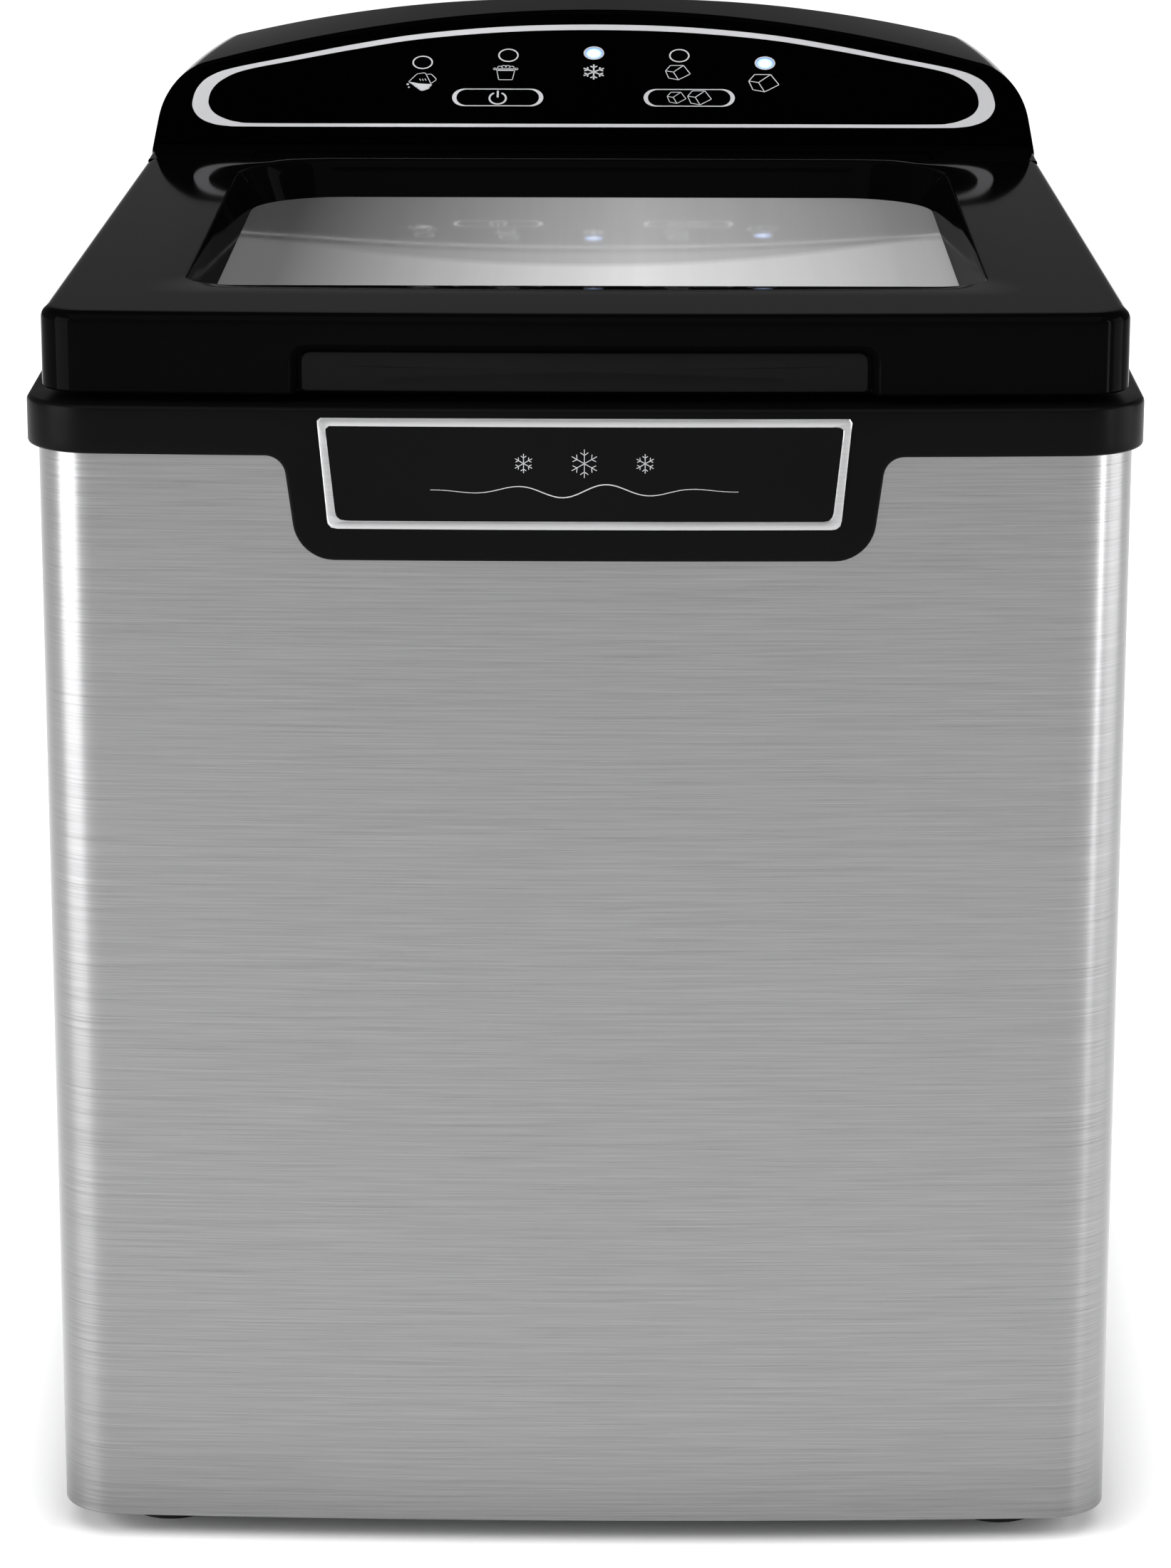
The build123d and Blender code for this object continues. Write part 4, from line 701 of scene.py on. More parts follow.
class Palette:
    """Every finish on the machine, made once."""

    def __init__(self) -> None:
        """Builds the materials."""
        peel, fine, spark = Grain.ORANGE_PEEL, Grain.FINE, Grain.SPARK
        self.steel = BrushedMetal("steel_skin", (0.188, 0.188, 0.19), 0.3, 0.21, 4200.0).material()
        self.band = BrushedMetal("bright_band", (0.36, 0.36, 0.365), 0.42, 0.1, 2600.0).material()
        self.lid = Moulded("lid_gloss_black", (0.0011, 0.0011, 0.0012), 0.05, 0.5, peel, 0.008,
                           ior=1.045).material()
        self.housing = Moulded("housing_gloss_black", (0.0006,) * 3, 0.05, 0.5, peel, 0.008,
                               ior=1.02).material()
        self.rim = Moulded("rim_semi_gloss", (0.002, 0.002, 0.0021), 0.3, 0.3, fine, 0.03,
                           ior=1.12).material()
        self.panel = Moulded("panel_gloss_black", (0.0002,) * 3, 0.06, 0.1, peel, 0.006, ior=1.12).material()
        self.badge = Moulded("badge_gloss_black", (0.0023, 0.0023, 0.0024), 0.08, 0.3, peel, 0.01,
                             ior=1.12).material()
        self.grip = Moulded("grip_face", (0.0039, 0.0039, 0.004), 0.35, 0.3, fine, 0.03, ior=1.12).material()
        self.print = Moulded("silver_print", (0.44, 0.44, 0.455), 0.42, 0.5, spark, 0.02).material()
        self.script = Moulded("fine_silver_line", (0.30, 0.30, 0.31), 0.4, 0.5, spark, 0.02).material()
        # the pane's material carries a painted highlight and a painted reflection of the housing
        self.pane = SilveredPane("pane_painted_light").material()
        self.black = Moulded("textured_black", (0.014, 0.014, 0.0145), 0.55, 0.3, spark, 0.25).material()
        self.rubber = Moulded("matt_rubber", (0.012, 0.012, 0.012), 0.75, 0.3, spark, 0.2).material()
        self.white = Moulded("liner_white", (0.62, 0.64, 0.66), 0.28, 0.5, peel, 0.03).material()
        self.foam = Moulded("foam_cream", (0.62, 0.54, 0.34), 0.9, 0.2, peel, 0.6).material()
        self.basket = Moulded("basket_grey", (0.34, 0.37, 0.41), 0.22, 0.5, fine, 0.03, 0.35).material()
        self.hose = Moulded("hose_silicone", (0.5, 0.5, 0.47), 0.4, 0.5, fine, 0.03, 0.3).material()
        self.board = Moulded("board_green", (0.012, 0.10, 0.035), 0.35, 0.5, spark, 0.08).material()
        self.ribbon = Moulded("ribbon_grey", (0.32, 0.33, 0.35), 0.45, 0.4, fine, 0.05).material()
        self.dark_lens = Moulded("dark_lens", (0.0006, 0.0006, 0.0008), 0.1, 0.3, fine, 0.01,
                                 ior=1.1).material()
        self.enamel = Moulded("baked_enamel", (0.008, 0.008, 0.009), 0.26, 0.5, peel, 0.08).material()
        self.cover = Moulded("cover_black", (0.011, 0.011, 0.012), 0.5, 0.35, peel, 0.2).material()
        self.nickel = PlainMetal("bright_nickel", (0.62, 0.60, 0.56), 0.16).material()
        self.aluminium = PlainMetal("mill_aluminium", (0.60, 0.61, 0.62), 0.3).material()
        self.copper = PlainMetal("drawn_copper", (0.60, 0.27, 0.14), 0.24, 0.3).material()
        self.zinc = PlainMetal("zinc_plate", (0.50, 0.50, 0.47), 0.32, 0.25).material()
        self.pin = PlainMetal("ground_steel", (0.62, 0.62, 0.62), 0.14, 0.1).material()

    def carried_over(self) -> dict[str, bpy.types.Material]:
        """The finish of each CAD node that stays in view.

        Returns:
            Material by node name.
        """
        groups = (
            (self.black, "base_pan power_gland lid_inner_frame tact_switches tray_motor tray_switches"),
            (self.black, "ice_full_sensors water_pump drain_port terminal_cover fan_shroud "
                         "fan_motor fan_blades"),
            (self.white, "inner_liner ice_grid evaporator_bracket water_tray tray_shovel "
                         "tray_bush water_spout"),
            (self.panel, "control_overlay power_button size_button"),
            (self.rubber, "lid_seal drain_plug compressor_grommets"),
            (self.zinc, "cover_screws bay_divider compressor_bolts hot_gas_valve"),
            (self.copper, "condenser_tubes filter_drier refrigerant_lines"),
            (self.dark_lens, "water_low_light basket_full_light small_ice_light"),
            (self.nickel, "evaporator_plate freezing_fingers"),
            (self.pin, "lid_hinge_pins tray_shafts"),
            (self.board, "display_board main_control_board"),
            (self.cover, "rear_cover"), (self.pane, "lid_window"), (self.ribbon, "display_cable"),
            (self.foam, "liner_insulation"), (self.basket, "ice_basket"), (self.hose, "pump_hose"),
            (self.enamel, "compressor"), (self.aluminium, "condenser_fins"),
        )
        return {node: finish for finish, nodes in groups for node in nodes.split()}

    def dress(self) -> None:
        """Assigns a finish to each carried-over node."""
        for node, material in self.carried_over().items():
            mesh = frame["nodes"][node].data
            mesh.materials.clear()
            mesh.materials.append(material)


# ------------------------------------------------------------------ plan outlines
@dataclass
class Plan:
    """Plan outline with a bowed front, rounded corners and straight sides."""

    half: float
    front: float
    rear: float
    front_corner: float
    rear_corner: float
    bow_radius: float = 2160.0
    rear_half: float | None = None

    def bow(self, x: Array) -> Array:
        """Depth of the front at x: front plus bow radius minus the root of its square less x squared."""
        return self.front + self.bow_radius - np.sqrt(self.bow_radius**2 - np.asarray(x, float) ** 2)

    def loop(self, inset: float = 0.0, front_count: int = 41, corner_count: int = 15,
             side_count: int = 13) -> Array:
        """Closed loop of plan points, anticlockwise from the front's left end, shrunk by inset.

        The front is the bow arc between its corners, each corner an arc, and the sides straight lines.

        Args:
            inset: how far the loop lies inside the outline.
            front_count: points along the front.
            corner_count: points on each corner.
            side_count: points on each side.

        Returns:
            (n, 2) array; n doesn't depend on inset.
        """
        half = self.half - inset
        rear_half = (self.rear_half if self.rear_half is not None else self.half) - inset
        radius = max(self.front_corner - inset, 0.3)
        rear_radius = max(self.rear_corner - inset, 0.3)
        end = self.half - self.front_corner
        x = np.linspace(-end, end, front_count)
        front = np.stack([x, self.bow(x) + inset], axis=1)
        lean = math.degrees(math.asin(end / self.bow_radius))
        centre_y = float(self.bow(end)) + inset + radius
        right = arc((half - radius, centre_y), radius, -90 + lean, 0, corner_count)
        left = arc((-half + radius, centre_y), radius, 180, 270 - lean, corner_count)
        rear_y = self.rear - inset
        side_y = np.linspace(centre_y, rear_y - rear_radius, side_count)
        side_x = np.linspace(half, rear_half, side_count)
        right_side = np.stack([side_x, side_y], axis=1)[1:]
        left_side = np.stack([-side_x, side_y], axis=1)[::-1][:-1]
        turn_x, turn_y = rear_half - rear_radius, rear_y - rear_radius
        rear_right = arc((turn_x, turn_y), rear_radius, 0, 90, corner_count)[1:]
        rear_left = arc((-turn_x, turn_y), rear_radius, 90, 180, corner_count)
        return np.concatenate([front, right[1:], right_side, rear_right, rear_left, left_side, left[1:-1]])


# ------------------------------------------------------------------ steel skin
@dataclass
class SteelSkin:
    """Brushed steel sheet bent round the front and sides, with pressed louvres near the rear."""

    palette: Palette
    sheet: float = 0.6
    corner: float = 13.7
    slot_length: float = 28.0
    slot_height: float = 3.4
    slot_pitch: float = 9.0
    slot_rows: int = 11
    first_slot: float = 35.0
    first_column: float = 30.0
    column_pitch: float = 36.0
    hood_bulge: float = 1.7
    hood_drop: float = 0.6
    hood_rise: float = 1.0
    hood_side: float = 0.8
    hood_sheet: float = 0.45
    hood_proud: float = 0.02

    def __post_init__(self) -> None:
        """Reads the skin's box from the frame."""
        self.low, self.high = node_box("body_wrap")
        self.plan = Plan(self.high[0], self.low[1], self.high[1] + 20, self.corner, 1.0)
        first = node_box("bay_divider")[0][1] + self.first_column
        self.slot_y = (first, first + self.column_pitch)

    def path(self, inset: float, side: Array) -> Array:
        """Open plan path from the left rear end round the front to the right rear end.

        Args:
            inset: distance inside the outline, in mm.
            side: Y of the points along the flank.

        Returns:
            The path in plan.
        """
        half = self.plan.half - inset
        radius = self.corner - inset
        end = self.plan.half - self.corner
        x = np.linspace(-end, end, 61)
        front = np.stack([x, self.plan.bow(x) + inset], axis=1)
        lean = math.degrees(math.asin(end / self.plan.bow_radius))
        centre_y = float(self.plan.bow(end)) + inset + radius
        right = arc((half - radius, centre_y), radius, -90 + lean, 0, 25)[1:]
        right_side = np.stack([np.full(len(side), half), side], axis=1)
        left = right[::-1] * (-1, 1)
        return np.concatenate([right_side[::-1] * (-1, 1), left, front, right, right_side])

    def build(self) -> list[bpy.types.Object]:
        """Sheet with slot holes, and a hood over each slot.

        The sheet is the outer path and the path one sheet inside it, both carried from the bottom edge to
        the top; the quads inside each slot are left out and the slot's edges are closed by short walls.

        Returns:
            The pieces made.
        """
        start = float(self.plan.bow(self.plan.half - self.corner)) + self.corner
        side = np.unique(np.concatenate([
            np.linspace(start + 3, self.high[1], 16),
            [y + s * self.slot_length / 2 for y in self.slot_y for s in (-1, 1)],
        ]))
        slot_z = self.first_slot + self.slot_pitch * np.arange(self.slot_rows)
        edges = np.concatenate([slot_z - self.slot_height / 2, slot_z + self.slot_height / 2])
        z = np.unique(np.concatenate([np.linspace(self.low[2], self.high[2], 14), edges]))
        outer = self.path(0.0, side)
        inner = self.path(self.sheet, side)
        cols = len(outer)

        def carried(path: Array) -> Array:
            """Path repeated at every height."""
            flat = np.broadcast_to(path[None], (len(z), cols, 2))
            return np.concatenate([flat, np.broadcast_to(z[:, None, None], (len(z), cols, 1))], axis=2)

        shell = Shape.join([Shape.grid(carried(outer)), Shape.grid(carried(inner))])
        count = len(z) * cols
        mid_y = (outer[:-1, 1] + outer[1:, 1]) / 2
        on_side = np.abs((outer[:-1, 0] + outer[1:, 0]) / 2) > self.plan.half - 0.01
        in_y = np.any([np.abs(mid_y - y) < self.slot_length / 2 for y in self.slot_y], axis=0) & on_side
        mid_z = (z[:-1] + z[1:]) / 2
        in_z = np.any(np.abs(mid_z[:, None] - slot_z[None]) < self.slot_height / 2, axis=1)
        hole = (in_z[:, None] & in_y[None, :]).reshape(-1)
        keep = np.concatenate([~hole, ~hole])
        quads = shell.quads[keep]
        walls = self.edge_walls(quads[: int((~hole).sum())], count)
        sheet = Shape(shell.points, np.concatenate([quads, walls]), shell.triangles)
        skin = make_piece("steel_skin", sheet, self.palette.steel, 40)
        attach(skin, "casing")
        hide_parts("body_wrap")
        places = [(sign, y, height) for sign in (-1, 1) for y in self.slot_y for height in slot_z]
        hoods = Shape.join([self.hood(*place) for place in places])
        hood_piece = make_piece("side_louvre_hoods", hoods, self.palette.steel, 40)
        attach(hood_piece, "casing")
        return [skin, hood_piece]

    def edge_walls(self, quads: Array, offset: int) -> Array:
        """Quads that join each open edge of the outer sheet to the same edge of the inner one.

        Args:
            quads: faces of the outer sheet.
            offset: index step from the outer to the inner sheet.

        Returns:
            Faces that close the open edges.
        """
        edges = np.concatenate([quads[:, [0, 1]], quads[:, [1, 2]], quads[:, [2, 3]], quads[:, [3, 0]]])
        key = np.sort(edges, axis=1)
        _, index, times = np.unique(key, axis=0, return_index=True, return_counts=True)
        open_edges = edges[index[times == 1]]
        a, b = open_edges[:, 0], open_edges[:, 1]
        return np.stack([a, b, b + offset, a + offset], axis=1)

    def hood(self, sign: int, y: float, z: float) -> Shape:
        """Pressed louvre: a quarter-round eyebrow whose bulge dies away as a power of the place along it.

        Args:
            sign: which side, -1 or 1.
            y: middle of the slot from front to rear.
            z: middle of the slot in height.

        Returns:
            One louvre hood.
        """
        along = np.linspace(-1, 1, 13)
        turn = np.linspace(0, 1, 7)
        fade = 1 - np.abs(along) ** 6
        reach = self.hood_bulge * np.sin(turn * math.pi / 2)[None, :] * fade[:, None]
        top = z + self.slot_height / 2 + self.hood_rise
        fall = self.slot_height + self.hood_rise - self.hood_drop
        height = np.broadcast_to(top - fall * turn**1.3, reach.shape)
        depth = y + along * (self.slot_length / 2 + self.hood_side)
        depth = np.broadcast_to(depth[:, None], reach.shape)
        outside = np.stack([sign * (self.plan.half + self.hood_proud + reach), depth, height], axis=2)
        inside = outside.copy()
        inside[:, :, 0] -= sign * self.hood_sheet
        return Shape.tube(np.concatenate([outside, inside[:, ::-1]], axis=1))


# ------------------------------------------------------------------ rim with apron
@dataclass
class TopRim:
    """Black rim round the top, with the tongue in front that carries the badge."""

    palette: Palette
    top_edge: float = 1.2
    low_edge: float = 0.8
    plate: float = 3.0
    ledge: float = 2.3
    apron_half_top: float = 64.6
    apron_half_bottom: float = 61.6
    apron_corner: float = 9.0
    cove: float = 4.5
    corner: float = 16.0
    rear_corner: float = 6.0
    height: float = 10.7
    plain_count: int = 13
    opening_margin: float = 8.0
    seal_margin: float = 4.0
    opening_corner: float = 12.0
    opening_edge: float = 0.5
    straight: float = 1e7

    def __post_init__(self) -> None:
        """Reads the rim's box from the frame."""
        self.low, self.high = node_box("top_rim")
        self.plan = Plan(self.high[0], self.low[1], self.high[1], self.corner, self.rear_corner)
        self.band_low = self.high[2] - self.height

    def apron_edge(self) -> Array:
        """Lower edge of the rim's front from left to right: straight, cove, side, corner, bottom and back.

        Returns:
            The lower edge of the apron.
        """
        wide, above = 80.0, self.band_low + 30.0
        low = self.low[2]
        full = round_profile(
            [
                (-wide, self.band_low), (-self.apron_half_top, self.band_low), (-self.apron_half_bottom, low),
                (self.apron_half_bottom, low), (self.apron_half_top, self.band_low), (wide, self.band_low),
                (wide, above), (-wide, above),
            ],
            [0, self.cove, self.apron_corner, self.apron_corner, self.cove, 0, 0, 0], 11,
        )[:-2]
        return dense(full, 1.6)

    def build(self) -> list[bpy.types.Object]:
        """Profile carried round the rim, whose front stretch follows the apron's edge.

        Every column has its own lower edge point and inward direction. Rows run from the opening over the
        top plate, round the top edge, down the front, round the lower edge and inwards to the steel.

        Returns:
            The pieces made.
        """
        edge = self.apron_edge()
        end = self.plan.half - self.corner
        left_x = np.linspace(-end, edge[0, 0], self.plain_count + 1)[:-1]
        right_x = np.linspace(edge[-1, 0], end, self.plain_count + 1)[1:]
        level = np.full(self.plain_count, self.band_low)
        low_x = np.concatenate([left_x, edge[:, 0], right_x])
        low_z = np.concatenate([level, edge[:, 1], level])
        reach = np.concatenate([[0], np.cumsum(np.hypot(np.diff(edge[:, 0]), np.diff(edge[:, 1])))])
        mid = edge[0, 0] + (edge[-1, 0] - edge[0, 0]) * reach / reach[-1]
        top_x = np.concatenate([left_x, mid, right_x])
        count = len(low_x)
        tangent = np.gradient(np.stack([low_x, low_z], axis=1), axis=0)
        tangent /= np.linalg.norm(tangent, axis=1, keepdims=True)
        inward = np.stack([-tangent[:, 1], tangent[:, 0]], axis=1)

        def front_row(up: float, depth: float) -> Array:
            """Ring whose front lies a distance up from the lower edge and a depth behind the face.

            Args:
                up: distance from the lower edge.
                depth: distance behind the face.

            Returns:
                One row of points.
            """
            ring = lifted(self.plan.loop(depth, front_count=count), self.band_low + up)
            x = low_x + inward[:, 0] * up
            ring[:count, 0] = x
            ring[:count, 1] = self.plan.bow(x) + depth
            ring[:count, 2] = low_z + inward[:, 1] * up
            return ring

        def top_row(inset: float, height: float) -> Array:
            """Ring near the top, with the front columns spread evenly along it.

            Args:
                inset: distance inside the outline.
                height: its Z.

            Returns:
                One row of points.
            """
            ring = lifted(self.plan.loop(inset, front_count=count), height)
            ring[:count, 0] = top_x
            ring[:count, 1] = self.plan.bow(top_x) + inset
            return ring

        turn = np.radians(np.linspace(0, 90, 6))
        in_turn = 1 - np.sin(turn)
        up_turn = 1 - np.cos(turn)
        top = self.high[2]
        rows = [self.opening(count, 0.0, top - self.plate), self.opening(count, 0.0, top - self.opening_edge)]
        rows.append(self.opening(count, self.opening_edge, top))
        rows += [top_row(self.top_edge * a, top - self.top_edge * b) for a, b in zip(in_turn, up_turn)]
        first = rows[-1]
        last = front_row(self.low_edge, 0.0)
        rows += [first + (last - first) * s for s in (0.25, 0.5, 0.75)]
        for ring in rows[-3:]:
            ring[:count, 1] = self.plan.bow(ring[:count, 0])
        rows += [front_row(self.low_edge * a, self.low_edge * b) for a, b in zip(in_turn, up_turn)]
        rows.append(front_row(0.0, self.ledge))
        rows.append(top_row(self.ledge, top - self.plate))
        surface = Shape.grid(np.stack(rows), close_rows=True, close_cols=True)
        rim = make_piece("rim_shell", surface, self.palette.rim, 35)
        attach(rim, "casing")
        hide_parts("top_rim")
        return [rim]

    def opening(self, count: int, grow: float, height: float) -> Array:
        """Ring round the compartment's opening with as many points as the rim's loop.

        Args:
            count: points on the loop.
            grow: distance outside the opening.
            height: its Z.

        Returns:
            (count, 3) points.
        """
        liner_low, liner_high = node_box("inner_liner")
        half = liner_high[0] - self.opening_margin + grow
        front = liner_low[1] + self.opening_margin - grow
        rear = node_box("lid_seal")[1][1] - self.seal_margin + grow
        hole = Plan(half, front, rear, self.opening_corner, self.opening_corner, self.straight)
        return lifted(hole.loop(0.0, front_count=count), height)


def lifted(loop: Array, height: float) -> Array:
    """Flat loop at one height, as (n, 3) points."""
    return np.hstack([loop, np.full((len(loop), 1), height)])


def dense(path: Array, step: float) -> Array:
    """Adds evenly spaced points on every stretch of an open path longer than step.

    Args:
        path: (n, 2) points.
        step: longest spacing left.

    Returns:
        The path with points added.
    """
    pieces = []
    for a, b in zip(path[:-1], path[1:]):
        n = max(int(math.ceil(np.linalg.norm(b - a) / step)), 1)
        pieces.append(a + (b - a) * (np.arange(n) / n)[:, None])
    return np.concatenate(pieces + [path[-1:]])


# ------------------------------------------------------------------ badge
@dataclass
class Badge:
    """Bright frame, gloss plate and a fine line ornament of frost and a wave."""

    palette: Palette
    band: float = 1.9
    bevel: float = 0.25
    bow_radius: float = 2160.0
    sunk: float = 0.2
    depth: float = 1.2
    draw_in: float = 2.2
    top_corner: float = 0.8
    low_corner: float = 1.8
    plate_back: float = 0.5
    wave_half: float = 33.0
    wave_fade: float = 22.0
    wave_drop: float = 3.6
    wave_height: float = 1.5
    wave_length: float = 3.1
    star_rise: float = 2.4
    star_line: float = 0.16
    relief: float = 0.05
    clearance: float = 0.005

    def __post_init__(self) -> None:
        """Puts the plate's face a little behind the frame's."""
        self.face = node_box("badge_frame")[0][1] + self.sunk

    def outline(self, shrink: float) -> Array:
        """Rounded trapezoid of the frame, shrunk on every side.

        Args:
            shrink: distance inside the outline, in mm.

        Returns:
            (n, 2) points in X and Z.
        """
        low, high = node_box("badge_frame")
        half = high[0] - shrink
        base = half - self.draw_in
        top, foot = high[2] - shrink, low[2] + shrink
        radii = [self.top_corner, self.low_corner, self.low_corner, self.top_corner]
        loop = round_profile([(-half, top), (-base, foot), (base, foot), (half, top)], radii, 7)
        return resample(np.concatenate([loop, loop[:1]]), 240)

    def bow(self, x: Array) -> Array:
        """How far the bowed front falls back at x."""
        return self.bow_radius - np.sqrt(self.bow_radius**2 - x**2)

    def build(self) -> list[bpy.types.Object]:
        """Rings round the trapezoid: outer foot, outer edge, bevels, inner edge and inner foot.

        Returns:
            The pieces made.
        """
        front = node_box("badge_frame")[0][1]
        base = self.outline(0.0)
        inner = self.outline(self.band)

        def ring(t: float, d: float) -> Array:
            """Between the outer and inner outline by t, d behind the front."""
            flat = base + (inner - base) * t
            return np.stack([flat[:, 0], front + self.bow(flat[:, 0]) + d, flat[:, 1]], axis=1)

        b, bulge = self.bevel, 0.35
        t = b / self.band
        steps = ((0, self.depth), (0, b), (t * bulge, b * bulge), (t, 0),
                 (1 - t, 0), (1 - t * bulge, b * bulge), (1, b), (1, self.depth))
        rings = np.stack([ring(*step) for step in steps])
        surface = Shape.grid(rings, close_rows=True, close_cols=True)
        piece = make_piece("badge_band", surface, self.palette.band, 30)
        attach(piece, "casing")
        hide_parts("badge_frame")
        return [piece, self.plate(), self.ornament()]

    def plate(self) -> bpy.types.Object:
        """Gloss plate inside the frame: the inner outline, carried back, shrunk in steps to its middle.

        Returns:
            The piece.
        """
        edge = self.outline(self.band - 0.1)
        middle = np.array([0.0, edge[:, 1].mean()])
        share = np.array([1.0, 1.0, 0.8, 0.6, 0.4, 0.2, 0.02])
        back = np.zeros(len(share))
        back[0] = self.plate_back
        flat = middle + (edge - middle)[None] * share[:, None, None]
        x = flat[:, :, 0]
        rings = np.stack([x, self.face + self.bow(x) + back[:, None], flat[:, :, 1]], axis=2)
        piece = make_piece("badge_face", Shape.tube(rings), self.palette.badge, 30)
        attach(piece, "casing")
        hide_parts("badge_plate")
        return piece

    def ornament(self) -> bpy.types.Object:
        """A long wave line with three six-armed frost stars, lying on the badge plate.

        Returns:
            The piece.
        """
        low, high = node_box("badge_plate")
        middle_z = (low[2] + high[2]) / 2
        x = np.linspace(-self.wave_half, self.wave_half, 220)
        envelope = np.exp(-((x / self.wave_fade) ** 2))
        height = middle_z - self.wave_drop + self.wave_height * envelope * np.sin(x / self.wave_length)
        width = 0.1 + 0.14 * envelope
        shapes = [ribbon(np.stack([x, height], axis=1), width, self.relief)]
        for cx, size in ((-13.0, 2.1), (0.0, 3.1), (13.0, 2.1)):
            shapes += frost_star(cx, middle_z + self.star_rise, size, self.star_line, self.relief)
        flat = Shape.join(shapes)
        x, up, out = flat.points.T
        points = np.stack([x, self.face + self.bow(x) - out + self.clearance, up], axis=1)
        lines = Shape(points, flat.quads, flat.triangles)
        piece = make_piece("badge_ornament", lines, self.palette.script, 30, weld=False)
        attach(piece, "casing")
        return piece


def resample(closed: Array, count: int) -> Array:
    """Loop whose last point repeats its first, sampled at count places evenly spread along its length.

    Args:
        closed: (n, 2) points of a closed loop.
        count: points wanted.

    Returns:
        (count, 2) points, evenly spaced.
    """
    run = np.concatenate([[0], np.cumsum(np.linalg.norm(np.diff(closed, axis=0), axis=1))])
    place = np.linspace(0, run[-1], count, endpoint=False)
    return np.stack([np.interp(place, run, closed[:, k]) for k in (0, 1)], axis=1)


def frost_star(cx: float, cy: float, size: float, width: float, height: float) -> list[Shape]:
    """Six arms from the centre, each with two short twigs at 55 degrees to it.

    Args:
        cx: centre in X.
        cy: centre in Y.
        size: length of an arm.
        width: width of a line.
        height: relief of a line.

    Returns:
        One shape for each line.
    """
    twig_length, twig_root, twig_angle = 0.34, 0.58, math.radians(55)
    shapes = []
    for k in range(6):
        a = math.radians(60 * k + 90)
        way = np.array([math.cos(a), math.sin(a)])
        tip = np.array([cx, cy]) + way * size
        shapes.append(ribbon(np.linspace((cx, cy), tip, 5), width, height))
        for sign in (-1, 1):
            b = a + sign * twig_angle
            twig = np.array([math.cos(b), math.sin(b)]) * size * twig_length
            root = np.array([cx, cy]) + way * size * twig_root
            shapes.append(ribbon(np.linspace(root, root + twig, 4), width, height))
    return shapes


